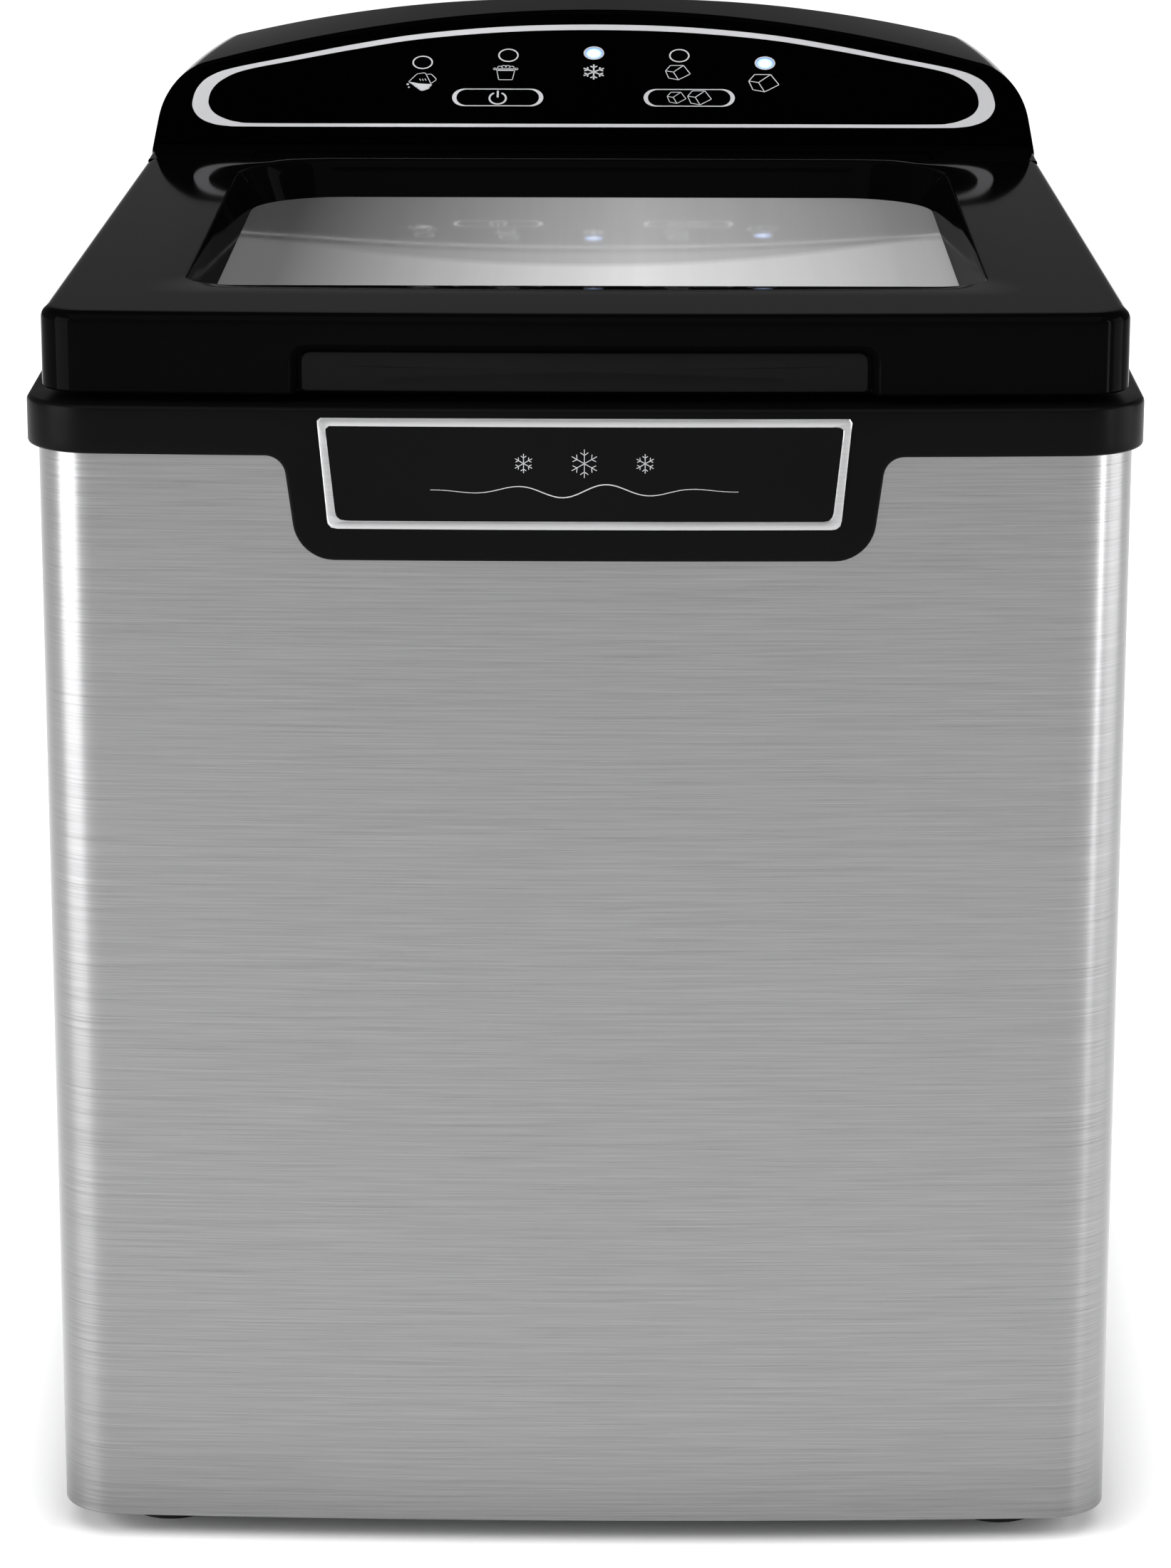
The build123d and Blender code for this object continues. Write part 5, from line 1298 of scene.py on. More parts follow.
# ------------------------------------------------------------------ lid
@dataclass
class Lid:
    """Gloss lid: soft edges, window well, finger grip in front and a tongue between the hinge ears."""

    palette: Palette
    corner: float = 10.0
    edge: float = 2.4
    rear_half: float = 113.8
    grip_half: float = 63.5
    grip_height: float = 11.3
    grip_depth: float = 2.5
    grip_side_bevel: float = 2.4
    grip_top_bevel: float = 2.2
    grip_corner: float = 4.0
    pad_depth: float = 1.5
    pad_inset: float = 2.9
    well_depth: float = 9.0
    well_run: float = 3.3
    well_edge: float = 0.8
    front_margin: float = 38.4
    rear_margin: float = 18.5
    window_half: float = 88.7
    front_corner: float = 12.0
    back_corner: float = 26.0
    ear_line: float = 86.3
    ear_swing: float = 12.9
    wall: float = 2.6
    tuck: float = 0.5
    nick: float = 0.4
    tongue_gap: float = 0.05
    tongue_low: float = 9.0
    tongue_lean: float = 1.2
    roof: float = 3.2
    lip: float = 0.5
    front_count: int = 121
    side_count: int = 61
    step_count: int = 24
    tongue_count: int = 12

    def __post_init__(self) -> None:
        """Reads the lid's box and hinge from the frame."""
        self.low, self.high = node_box("lid_frame")
        self.hinge = joint_place("lid_hinge")
        self.half = self.high[0]
        self.plan = Plan(self.half, self.low[1], self.high[1], self.corner, 0.5, rear_half=self.rear_half)

    def side_half(self, y: Array) -> Array:
        """Half width at a depth: a straight line from the front corner to the rear."""
        t = (y - self.low[1]) / (self.high[1] - self.low[1])
        return self.half + (self.rear_half - self.half) * t

    def ring(self, inset: float, z: float, grip: float = 0.0) -> Array:
        """Closed loop of the lid's outer wall at one height.

        Front with the grip pressed in, right corner and side, concave step round the ear, tongue, and the
        mirror of that on the left.

        Args:
            inset: how far inside the outline.
            z: height.
            grip: share of the grip's depth at this height.

        Returns:
            (n, 3) points.
        """
        end = self.half - self.corner
        b = self.grip_side_bevel
        bevel_x = np.linspace(self.grip_half - b - 0.5, self.grip_half + 0.5, 13)
        x = np.sort(np.concatenate([np.linspace(-end, end, self.front_count), bevel_x, -bevel_x]))
        press = smoothstep(self.grip_reach(x, z), 0.0, b) * grip * self.grip_depth
        front = np.stack([x, self.plan.bow(x) + inset + press], axis=1)
        radius = max(self.corner - inset, 0.5)
        lean = math.degrees(math.asin(end / self.plan.bow_radius))
        centre_y = float(self.plan.bow(end)) + inset + radius
        right = arc((self.half - inset - radius, centre_y), radius, -90 + lean, 0, 15)[1:]
        rise = z - self.hinge[2]
        step_y = self.hinge[1] - math.sqrt(max(self.ear_swing**2 - rise**2, 0.01))
        side_y = np.linspace(centre_y, step_y - self.tuck - inset * 0.15, self.side_count)[1:]
        right_side = np.stack([self.side_half(side_y) - inset, side_y], axis=1)
        step_start = self.side_half(np.array(step_y)) - inset - self.tuck
        step_x = np.linspace(step_start, self.ear_line + self.tuck, self.step_count)
        step = np.stack([step_x, np.full(self.step_count, step_y)], axis=1)
        rear_reach = self.high[1] - self.hinge[1] - self.tongue_gap
        round_off = math.sqrt(max(rear_reach**2 - max(rise, 0.0) ** 2, 0.0))
        tongue_y = self.hinge[1] + (round_off if rise > 0 else rear_reach)
        if rise < -self.tongue_low:
            tongue_y -= (-self.tongue_low - rise) * self.tongue_lean
        edge_y = np.linspace(step_y + self.tuck, tongue_y - self.nick, self.tongue_count)
        tongue_side = np.stack([np.full(self.tongue_count, self.ear_line), edge_y], axis=1)
        corner_x = self.ear_line - self.nick
        half_loop = np.concatenate([right, right_side, step, tongue_side, [[corner_x, tongue_y]]])
        back_x = np.linspace(corner_x, -corner_x, 91)[1:-1]
        back = np.stack([back_x, np.full(len(back_x), tongue_y)], axis=1)
        loop = np.concatenate([front, half_loop, back, half_loop[::-1] * (-1, 1)])
        return lifted(loop, z)

    def grip_reach(self, x: Array, z: float) -> Array:
        """Distance inside the grip's outline, a rectangle with rounded upper corners that is open below.

        From a corner's centre, it is the radius less the root of the squared overshoots past the centre.

        Args:
            x: positions across the front.
            z: height.

        Returns:
            How far the grip goes in at each place.
        """
        r = self.grip_corner
        over_x = np.abs(x) - (self.grip_half - r)
        over_z = np.full_like(over_x, z - (self.low[2] + self.grip_height - r))
        outside = np.hypot(np.maximum(over_x, 0.0), np.maximum(over_z, 0.0))
        return r - outside - np.minimum(np.maximum(over_x, over_z), 0.0)

    def well_ring(self, grow: float, z: float) -> Array:
        """Rounded loop of the window well with as many points as the lid's wall.

        Args:
            grow: distance outside the window.
            z: height.

        Returns:
            The loop as (n, 3) points.
        """
        half = self.window_half + grow
        front = self.low[1] + self.front_margin - grow
        rear = self.high[1] - self.rear_margin + grow
        corners = [(-half, front), (half, front), (half, rear), (-half, rear)]
        front_radius, back_radius = self.front_corner + grow, self.back_corner + grow
        loop = round_profile(corners, [front_radius, front_radius, back_radius, back_radius], 20)
        closed = dense(np.concatenate([loop, loop[:1]]), 3.0)[:-1]
        start = int(np.argmin(np.hypot(closed[:, 0] + half - 14, closed[:, 1] - front)))
        return lifted(self.match(np.roll(closed, -start, axis=0)), z)

    def match(self, loop: Array) -> Array:
        """Loop sampled so that its points face those of the lid's wall, by angle about the centre.

        Args:
            loop: (n, 2) points of a closed loop.

        Returns:
            Points on it, as many as the wall has.
        """
        wall = self.ring(0.0, self.high[2])[:, :2]
        centre = np.array([0.0, (loop[:, 1].min() + loop[:, 1].max()) / 2])
        want = np.unwrap(np.arctan2(*(wall - centre).T[::-1]))
        have = np.arctan2(*(loop - centre).T[::-1])
        order = np.argsort(have)
        have = have[order]
        pts = loop[order]
        full = 2 * math.pi
        have3 = np.concatenate([have - full, have, have + full])
        pts3 = np.concatenate([pts, pts, pts])
        want = (want + math.pi) % full - math.pi
        return np.stack([np.interp(want, have3, pts3[:, k]) for k in (0, 1)], axis=1)

    def build(self) -> list[bpy.types.Object]:
        """Rings from the lower lip up the wall, over the soft edge, across the top and down the well.

        Returns:
            The pieces made.
        """
        low, top = self.low[2], self.high[2]
        grip_top = low + self.grip_height
        corner_z = grip_top - self.grip_corner
        rows = [self.ring(self.wall, top - self.roof), self.ring(self.wall + 0.2, low + 0.3, 1.0)]
        rows.append(self.ring(self.lip, low, 1.0))
        flank = np.linspace(low + 2.5, corner_z, 4)
        heights = np.concatenate([[low + self.lip], flank, np.linspace(corner_z, grip_top, 13)[1:]])
        rows += [self.ring(0.0, z, 1.0) for z in heights]
        for turn in np.radians(np.linspace(0, 90, 9)):
            rows.append(self.ring(self.edge * (1 - math.cos(turn)), top - self.edge * (1 - math.sin(turn))))
        brim = rows[-1]
        first_well = self.well_ring(self.well_edge, top)
        rows += [brim + (first_well - brim) * s for s in (0.04, 0.3, 0.65)]
        for turn in np.radians(np.linspace(0, 70, 6)):
            sunk = self.well_edge * (1 - math.cos(turn))
            rows.append(self.well_ring(self.well_edge * (1 - math.sin(turn)), top - sunk))
        fall = self.well_depth - self.well_edge
        for t in np.linspace(0.15, 1, 5):
            rows.append(self.well_ring(-self.well_run * t, top - self.well_edge - fall * t))
        under = top - self.well_depth - 0.02
        outer = self.wall - 0.4
        rows += [self.well_ring(1.5 - self.well_run, under), self.well_ring(outer, under)]
        rows.append(self.well_ring(outer, top - self.roof))
        surface = Shape.grid(np.stack(rows), close_rows=True, close_cols=True)
        lid = make_piece("lid_shell", surface, self.palette.lid, 30)
        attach(lid, "lid")
        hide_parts("lid_frame")
        return [lid, self.grip_face()]

    def grip_face(self) -> bpy.types.Object:
        """Pad on the floor of the finger grip, bent along the bow.

        Its rounded outline is shrunk in steps, and its edge is rounded back.

        Returns:
            The piece.
        """
        half = self.grip_half - self.pad_inset
        foot = self.low[2] + 0.7
        top = self.low[2] + self.grip_height - self.grip_top_bevel
        corners = [(-half, foot), (half, foot), (half, top), (-half, top)]
        loop = round_profile(corners, [0.4, 0.4, 1.8, 1.8], 7)
        edge = resample(np.concatenate([loop, loop[:1]]), 260)
        middle = np.array([0.0, (foot + top) / 2])
        inset = np.array([0.0, 0.0, 0.12, 0.35, 1.5, 3.0])
        back = np.array([0.9, 0.25, 0.06, 0.0, 0.0, 0.0])
        size = np.array([half, (top - foot) / 2])
        flat = middle + (edge - middle)[None] * (1 - inset[:, None, None] / size)
        y = self.plan.bow(flat[:, :, 0]) + self.pad_depth + back[:, None]
        shell = Shape.tube(np.stack([flat[:, :, 0], y, flat[:, :, 1]], axis=2))
        piece = make_piece("lid_grip_face", shell, self.palette.grip, 30)
        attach(piece, "lid")
        return piece


# ------------------------------------------------------------------ control housing
@dataclass
class FacePlane:
    """The slanted face behind the lid, with its own axes: x across, s up the slope, h outwards."""

    lid_top: float
    front: float
    angle: float = 32.5

    def __post_init__(self) -> None:
        """Works out the slope's sine and cosine."""
        self.sin = math.sin(math.radians(self.angle))
        self.cos = math.cos(math.radians(self.angle))

    def place(self, shape: Shape) -> Shape:
        """Shape drawn flat in (x, s, h) laid on the face."""
        matrix = np.array([[1, 0, 0], [0, self.cos, -self.sin], [0, self.sin, self.cos]])
        return shape.moved(matrix, (0, self.front, self.lid_top))

    def depth_at(self, z: Array) -> Array:
        """Y of the face at a height: front below the lid's top, then rising along the slope."""
        return self.front + np.maximum(np.asarray(z, float) - self.lid_top, 0.0) * self.cos / self.sin


@dataclass
class Housing:
    """Moulded housing: crowned top, rounded shoulders and rear, pocket for the panel, and hinge ears."""

    palette: Palette
    face: FacePlane
    crown_radius: float = 456.0
    shoulder_half: float = 112.2
    shoulder_radius: float = 14.0
    rear_radius: float = 32.0
    pocket_inset: float = 0.9
    pocket_depth: float = 5.6
    pocket_lift: float = 1.2
    across: int = 81
    ear_inner: float = 86.8
    ear_outer: float = 113.6
    ear_radius: float = 12.4
    ear_round: float = 0.9
    ear_start: float = 256.0
    ear_tail: float = 3.0
    rear_taper: float = 0.05
    rear_drop: float = 2.0
    edge_round: float = 0.55

    def __post_init__(self) -> None:
        """Reads the housing's box and the hinge from the frame."""
        self.low, self.high = node_box("control_housing")
        self.rear = self.high[1]
        self.foot_half = self.high[0]
        self.hinge = joint_place("lid_hinge")

    def upper(self, shrink: float, z_low: float) -> Array:
        """Outline of the front view from the left side at z_low, over the crown, to the right side.

        The crown is an arc, the side a straight line leaning outwards, and the shoulder the arc that
        touches both: its centre lies one radius inside the line and inside the crown.

        Args:
            shrink: how far inside the housing's outline.
            z_low: height where the side starts.

        Returns:
            (n, 2) points (x, z).
        """
        big = self.crown_radius - shrink
        small = self.shoulder_radius - shrink
        base = np.array([0.0, self.high[2] - self.crown_radius])
        top_z = base[1] + math.sqrt(self.crown_radius**2 - self.shoulder_half**2)
        corner = np.array([self.shoulder_half, top_z])
        foot = np.array([self.foot_half, self.low[2]])
        way = (foot - corner) / np.linalg.norm(foot - corner)
        inside = np.array([way[1], -way[0]])
        if inside[0] > 0:
            inside = -inside
        start = corner + inside * self.shoulder_radius
        rel = start - base
        b = rel @ way
        c = rel @ rel - (self.crown_radius - self.shoulder_radius) ** 2
        centre = start + way * (-b - math.sqrt(b * b - c))
        top_angle = math.degrees(math.atan2(*(centre - base)[::-1]))
        side_angle = math.degrees(math.atan2(-inside[1], -inside[0]))
        crown = arc(base, big, 90, top_angle, 61)
        shoulder = arc(centre, small, top_angle, side_angle, 17)[1:]
        end = shoulder[-1]
        low = end + way * (z_low - end[1]) / way[1]
        side = end + (low - end) * np.linspace(0, 1, 9)[1:, None]
        right = np.concatenate([crown, shoulder, side])
        return np.concatenate([right[::-1] * (-1, 1), right[1:]])

    def rear_at(self, z: Array) -> Array:
        """Y of the rear at a height: straight up, then a quarter circle forwards.

        Args:
            z: heights.

        Returns:
            Y of the rear face there.
        """
        middle = self.high[2] - self.rear_radius
        rise = np.clip(np.asarray(z, float) - middle, 0.0, self.rear_radius)
        return self.rear - self.rear_radius + np.sqrt(self.rear_radius**2 - rise**2)

    def span(self, outline: Array, y: Array) -> Array:
        """Grid of level lines between the left and right halves of an outline, at the given depths.

        Args:
            outline: (n, 2) half widths and heights.
            y: depth of each row.

        Returns:
            (n, across, 3) points.
        """
        half = outline[len(outline) // 2:]
        x = half[:, :1] * np.linspace(-1, 1, self.across)
        return np.stack(np.broadcast_arrays(x, y[:, None], half[:, 1:]), axis=2)

    def build(self) -> list[bpy.types.Object]:
        """Skin, face rim with pocket, front strip, rear and foot, welded into one closed shell.

        Returns:
            The pieces made.
        """
        upper = self.upper(0.0, self.face.lid_top)
        foot = self.upper(0.0, self.low[2])[-1]
        knee = upper[-1]
        low_side = knee + (foot - knee) * np.linspace(0, 1, 7)[1:, None]
        outline = np.concatenate([low_side[::-1] * (-1, 1), upper, low_side])
        depth = np.linspace(0, 1, 25)
        front_y = self.face.depth_at(outline[:, 1])
        rear_y = self.rear_at(outline[:, 1])
        skin_y = front_y[:, None] + (rear_y - front_y)[:, None] * depth
        skin = np.stack(np.broadcast_arrays(outline[:, :1], skin_y, outline[:, 1:]), axis=2)
        rear = self.span(outline, self.rear_at(outline[len(outline) // 2:, 1]))
        strip_line = np.concatenate([low_side[::-1] * (-1, 1), upper[:1], upper[-1:], low_side])
        strip = self.span(strip_line, np.full(len(strip_line) // 2, self.face.front))
        foot_y = self.face.front + (self.rear - self.face.front) * depth
        x = foot[0] * np.linspace(-1, 1, self.across)
        foot_grid = np.stack(np.broadcast_arrays(x[None, :], foot_y[:, None], self.low[2]), axis=2)
        parts = [Shape.grid(points) for points in (skin, rear, strip, foot_grid)] + [self.pocket(upper)]
        shell = make_piece("housing_shell", self.drawn_in(Shape.join(parts)), self.palette.housing, 28)
        soften(shell, self.edge_round)
        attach(shell, "casing")
        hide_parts("control_housing")
        return [shell, self.ears()]

    def drawn_in(self, shape: Shape) -> Shape:
        """Mould draft to the rear: x shrinks, and the shoulders sink, with the square of the way back.

        Args:
            shape: the shape to draft.

        Returns:
            The drafted shape.
        """
        points = shape.points.copy()
        way = np.clip((points[:, 1] - self.face.front) / (self.rear - self.face.front), 0, 1) ** 2
        high = np.clip((points[:, 2] - self.face.lid_top) / (self.high[2] - self.face.lid_top), 0, 1)
        points[:, 2] -= self.rear_drop * way * high * (points[:, 0] / self.shoulder_half) ** 2
        points[:, 0] *= 1 - self.rear_taper * way
        return Shape(points, shape.quads, shape.triangles)

    def pocket(self, upper: Array) -> Shape:
        """Face rim and pocket: outline loop, the loop inset, and that loop sunk, closed by a floor.

        Args:
            upper: outline of the face's edge.

        Returns:
            The pocket.
        """
        inner = self.upper(self.pocket_inset, self.face.lid_top + self.pocket_lift)
        bottom = np.linspace(1, -1, self.across)[1:-1]

        def loop(outline: Array, sunk: float) -> Array:
            """Outline closed along its lower edge, on the face, sunk by a depth.

            Args:
                outline: (n, 2) points.
                sunk: depth below the face.

            Returns:
                (n, 3) points.
            """
            end = outline[-1]
            low = np.stack([bottom * end[0], np.full(len(bottom), end[1])], axis=1)
            flat = np.concatenate([outline, low])
            slope = (flat[:, 1] - self.face.lid_top) / self.face.sin
            return np.stack([flat[:, 0], slope, np.full(len(flat), -sunk)], axis=1)

        rings = np.stack([loop(upper, 0.0), loop(inner, 0.0), loop(inner, self.pocket_depth)])
        return self.face.place(Shape.tube(rings, cap_first=False))

    def ears(self) -> bpy.types.Object:
        """Hinge ears: a barrel front running back level with the lid, its ends rounded as quarter circles.

        Returns:
            The piece.
        """
        y, z = self.hinge[1], self.hinge[2]
        rise = self.face.lid_top - z
        last = math.degrees(math.asin(rise / self.ear_radius))
        front = arc((y, z), self.ear_radius, self.ear_start, 180 - last, 19)
        back = self.face.front + self.ear_tail
        foot_z = self.low[2] + 0.05
        foot = [[back, foot_z], [y - self.ear_tail, foot_z]]
        outline = np.concatenate([foot, front, [[back, self.face.lid_top - 0.02]]])
        loop = resample(np.concatenate([outline, outline[:1]]), 150)
        middle = loop.mean(axis=0)
        size = np.abs(loop - middle).max(axis=0)
        turn = np.radians(np.linspace(0, 90, 6))
        shrunk = self.ear_round * (1 - np.sin(turn))
        inwards = self.ear_round * (1 - np.cos(turn))
        inset = np.concatenate([shrunk, shrunk[::-1]])
        run = np.concatenate([self.ear_inner + inwards, self.ear_outer - inwards[::-1]])
        scale = 1 - inset[:, None] / size[None]
        ring = middle + (loop - middle)[None] * scale[:, None, :]
        x = np.broadcast_to(run[:, None], ring.shape[:2])
        right = Shape.tube(np.stack([x, ring[:, :, 0], ring[:, :, 1]], axis=2))
        left = right.moved(np.diag([-1.0, 1.0, 1.0]), (0, 0, 0))
        piece = make_piece("hinge_ears", Shape.join([right, left]), self.palette.lid, 28)
        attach(piece, "casing")
        return piece


def soften(piece: bpy.types.Object, width: float) -> None:
    """Rounds a piece's hard edges with a three-segment bevel of a width in millimetres.

    Args:
        piece: the object to bevel.
        width: bevel width in mm.
    """
    bevel = piece.modifiers.new("edge_round", "BEVEL")
    bevel.width = width * MM
    bevel.segments = 3
    bevel.limit_method = "ANGLE"
    bevel.angle_limit = math.radians(28)
    bevel.harden_normals = False


# ------------------------------------------------------------------ print on the panel
def spline_loop(points: Array, steps: int) -> Array:
    """Closed Catmull-Rom curve: cubics whose slope at a point is half its neighbours' spacing.

    Args:
        points: (n, 2) points that it passes through.
        steps: samples between two of them.

    Returns:
        (n * steps, 2) points.
    """
    p0, p1, p2, p3 = (np.roll(points, shift, axis=0)[:, None] for shift in (1, 0, -1, -2))
    t = (np.arange(steps) / steps)[None, :, None]
    square = 2 * p0 - 5 * p1 + 4 * p2 - p3
    cube = 3 * (p1 - p2) + p3 - p0
    curve = p1 + 0.5 * t * ((p2 - p0) + t * (square + t * cube))
    return curve.reshape(-1, 2)


def patch(points: Array, height: float) -> Shape:
    """Flat filled outline standing up by a height, closed by a fan from its middle."""
    loop = np.asarray(points, float)
    return Shape.tube(np.stack([lifted(loop, 0.0), lifted(loop, height)]))


class Icon(Enum):
    """Signs printed on the panel."""

    POUR = "pour"
    BUCKET = "bucket"
    FROST = "frost"
    CUBE = "cube"
    POWER = "power"


@dataclass
class FacePrint:
    """Silver print: the long outline, rings round the lights, key outlines and signs."""

    palette: Palette
    face: FacePlane
    line: float = 0.2
    height: float = 0.04
    lift: float = 0.003
    ring_radius: float = 2.5
    ring_width: float = 0.4
    key_half: float = 11.55
    key_radius: float = 3.35
    key_side: float = 25.0
    key_row: float = 20.5
    light_step: float = 22.5
    light_row: float = 38.8
    light_bow: float = 512.0
    key_proud: float = 0.2

    def strokes(self, icon: Icon) -> tuple[list[tuple[Array, bool]], list[Array]]:
        """Lines and filled areas of a sign in a unit square.

        Args:
            icon: which sign.

        Returns:
            Lines, each with whether it is closed, and filled outlines.
        """
        drawn = {Icon.CUBE: self.cube, Icon.BUCKET: self.bucket, Icon.POUR: self.pour, Icon.POWER: self.power}
        return drawn[icon]()

    @staticmethod
    def loop(points: Sequence[tuple[float, float]], radii: Sequence[float], count: int) -> tuple[Array, bool]:
        """Closed line round a polygon with rounded corners."""
        line = round_profile(points, radii, count)
        return dense(np.concatenate([line, line[:1]]), 0.1)[:-1], True

    def cube(self) -> tuple[list[tuple[Array, bool]], list[Array]]:
        """Six-sided outline of a cube and the three edges that meet at its near corner.

        Returns:
            Lines with whether each is closed, and filled outlines.
        """
        back, top, left, near = (0.20, 1.0), (0.73, 1.0), (0.0, 0.62), (0.32, 0.54)
        foot, low, right = (0.13, 0.12), (0.52, 0.0), (1.0, 0.41)
        outline = self.loop([left, foot, low, right, top, back], [0.04] * 6, 4)
        edges = [(np.linspace(a, b, 6), False) for a, b in ((left, near), (near, top), (near, low))]
        return [outline] + edges, []

    def bucket(self) -> tuple[list[tuple[Array, bool]], list[Array]]:
        """Tapered bucket with a filled band, two rings for ears and four lumps of ice on top.

        Returns:
            Lines with whether each is closed, and filled outlines.
        """
        body = self.loop([(0.12, 0.72), (0.22, 0.0), (0.78, 0.0), (0.88, 0.72)], [0, 0.05, 0.05, 0], 5)
        ears = [(arc((x, 0.7), 0.055, 0, 330, 12), True) for x in (0.055, 0.945)]
        heaps = [(x, 0.78 + 0.07 * (1 - abs(x - 0.5) * 4)) for x in (0.26, 0.42, 0.58, 0.74)]
        lumps = [(arc(centre, 0.1, -10, 190, 11), False) for centre in heaps]
        band = round_profile([(0.17, 0.66), (0.18, 0.58), (0.82, 0.58), (0.83, 0.66)], [0, 0, 0, 0])
        return [body] + ears + lumps, [band]

    def pour(self) -> tuple[list[tuple[Array, bool]], list[Array]]:
        """Tilted jug with a handle and a scale, its filled water, and two drops.

        Returns:
            Lines with whether each is closed, and filled outlines.
        """
        rim = [(0.06, 0.5), (0.32, 0.92), (0.6, 1.0)]
        foot = [(0.8, 0.42), (0.74, 0.12), (0.5, 0.0)]
        body = self.loop(rim + foot, [0.02, 0.1, 0.08, 0.1, 0.1, 0.1], 6)
        handle = round_profile([(0.66, 0.9), (0.8, 0.93), (1.0, 0.62), (0.82, 0.42)], [0, 0.08, 0.1, 0], 5)
        level = [(0.05, 0.5), (0.42, 0.4), (0.86, 0.36)]
        bottom = [(0.72, 0.1), (0.5, 0.02), (0.3, 0.2)]
        water = round_profile(level + bottom, [0, 0, 0.03, 0.05, 0.05, 0.05], 4)
        ticks = [(np.linspace((0.46 + d, 0.56), (0.42 + d, 0.66), 3), False) for d in (0.0, 0.09, 0.18)]
        drops = [arc((0.03, 0.36), 0.045, 0, 345, 12), arc((0.07, 0.2), 0.035, 0, 345, 12)]
        return [body, (handle, False)] + ticks, [water] + drops

    def power(self) -> tuple[list[tuple[Array, bool]], list[Array]]:
        """Ring open at the top, with an upright bar in the gap."""
        ring = arc((0.5, 0.44), 0.43, -242, 62, 40)
        return [(ring, False), (np.linspace((0.5, 0.5), (0.5, 1.0), 5), False)], []

    def sign(self, icon: Icon, centre: tuple[float, float],
             size: tuple[float, float], width: float) -> list[Shape]:
        """A sign scaled to its size in millimetres about its centre.

        Args:
            icon: which sign.
            centre: its middle on the face.
            size: its width and height.
            width: width of a line.

        Returns:
            One shape for each line and area.
        """
        if icon is Icon.FROST:
            return frost_star(centre[0], centre[1], size[1] / 2, width, self.height)
        lines, areas = self.strokes(icon)
        scale = np.array(size)
        origin = np.array(centre) - scale / 2
        shapes = [ribbon(line * scale + origin, width, self.height, closed) for line, closed in lines]
        return shapes + [patch(area * scale + origin, self.height) for area in areas]

    def light_places(self) -> Array:
        """Centres of the five lights: evenly spaced, on a bow that falls as x squared."""
        x = self.light_step * np.arange(-2, 3)
        return np.stack([x, self.light_row - x**2 / self.light_bow], axis=1)

    def outline(self) -> Shape:
        """Long outline of the panel: a band between two closed curves, thick at the ends.

        Each curve is drawn as its left half from the foot, and mirrored.

        Returns:
            The band.
        """
        outer = np.array([
            (0, 8.9), (-50, 8.9), (-88, 8.9), (-95.5, 9.2), (-99.5, 10.3), (-102.6, 12.6), (-104.4, 16.2),
            (-104.6, 19.8), (-103.6, 24.6), (-100.8, 28.9), (-94.8, 32.4), (-79.5, 37.2), (-62.5, 42.4),
            (-45.3, 46.6), (-23.0, 49.6),
        ])
        inner = np.array([
            (0, 10.2), (-50, 10.2), (-86, 10.2), (-92.5, 10.7), (-96.0, 12.1), (-98.6, 14.1), (-100.1, 16.8),
            (-100.5, 19.8), (-99.7, 24.0), (-97.0, 28.0), (-91.5, 31.6), (-79.0, 35.5), (-62.2, 40.4),
            (-45.2, 44.5), (-23.0, 47.4),
        ])
        curves = []
        for half, top in ((outer, 50.5), (inner, 48.3)):
            mirrored = half[1:][::-1] * (-1, 1)
            curves.append(spline_loop(np.concatenate([half, [(0, top)], mirrored]), 12))
        low = [lifted(curve, 0.0) for curve in curves]
        high = [lifted(curve, self.height) for curve in curves]
        return Shape.grid(np.stack([low[0], high[0], high[1], low[1]]), close_rows=True, close_cols=True)

    def key_outline(self, x: float) -> Shape:
        """Capsule round a key: thin above and below, thicker towards its ends.

        Args:
            x: middle of the key.

        Returns:
            The outline as a line.
        """
        straight = self.key_half - self.key_radius
        right = arc((x + straight, self.key_row), self.key_radius, -90, 90, 33)
        left = arc((x - straight, self.key_row), self.key_radius, 90, 270, 33)
        top = np.linspace(right[-1], left[0], 15)[1:-1]
        bottom = np.linspace(left[-1], right[0], 15)[1:-1]
        path = np.concatenate([right, top, left, bottom])
        side = np.abs(path[:, 0] - x) - straight
        share = np.clip(side / self.key_radius, 0, 1)
        inside = np.stack([-np.sign(path[:, 0] - x) * share**1.5 * 0.2, np.zeros(len(path))], axis=1)
        return ribbon(path + inside, 0.34 + 0.8 * share**1.2, self.height, closed=True)

    def build(self) -> list[bpy.types.Object]:
        """Prints on the panel ride on the casing, and each key's sign on its key.

        Returns:
            The pieces made.
        """
        places = self.light_places()
        angle = 360 * np.arange(48) / 48
        circle = np.stack([np.cos(np.radians(angle)), np.sin(np.radians(angle))], axis=1) * self.ring_radius
        shapes = [self.outline()]
        shapes += [ribbon(circle + place, self.ring_width, self.height, closed=True) for place in places]
        signs = (
            (Icon.POUR, (-45.0, 27.0), (7.8, 7.4), self.line),
            (Icon.BUCKET, (-23.1, 31.0), (6.4, 6.25), self.line),
            (Icon.FROST, (0.0, 31.1), (5.7, 6.1), 0.42),
            (Icon.CUBE, (22.1, 30.9), (6.5, 5.85), self.line + 0.04),
            (Icon.CUBE, (44.6, 26.7), (7.9, 7.0), self.line + 0.06),
        )
        for icon, centre, size, width in signs:
            shapes += self.sign(icon, centre, size, width)
        pieces = [self.put("panel_print", shapes, "casing", self.lift)]
        on_key = self.key_proud + self.lift
        power = self.sign(Icon.POWER, (-self.key_side, self.key_row), (5.0, 5.4), 0.5)
        power.append(self.key_outline(-self.key_side))
        small = self.sign(Icon.CUBE, (self.key_side - 3.3, self.key_row), (4.9, 4.5), self.line)
        large = self.sign(Icon.CUBE, (self.key_side + 2.7, self.key_row), (6.2, 5.6), self.line + 0.02)
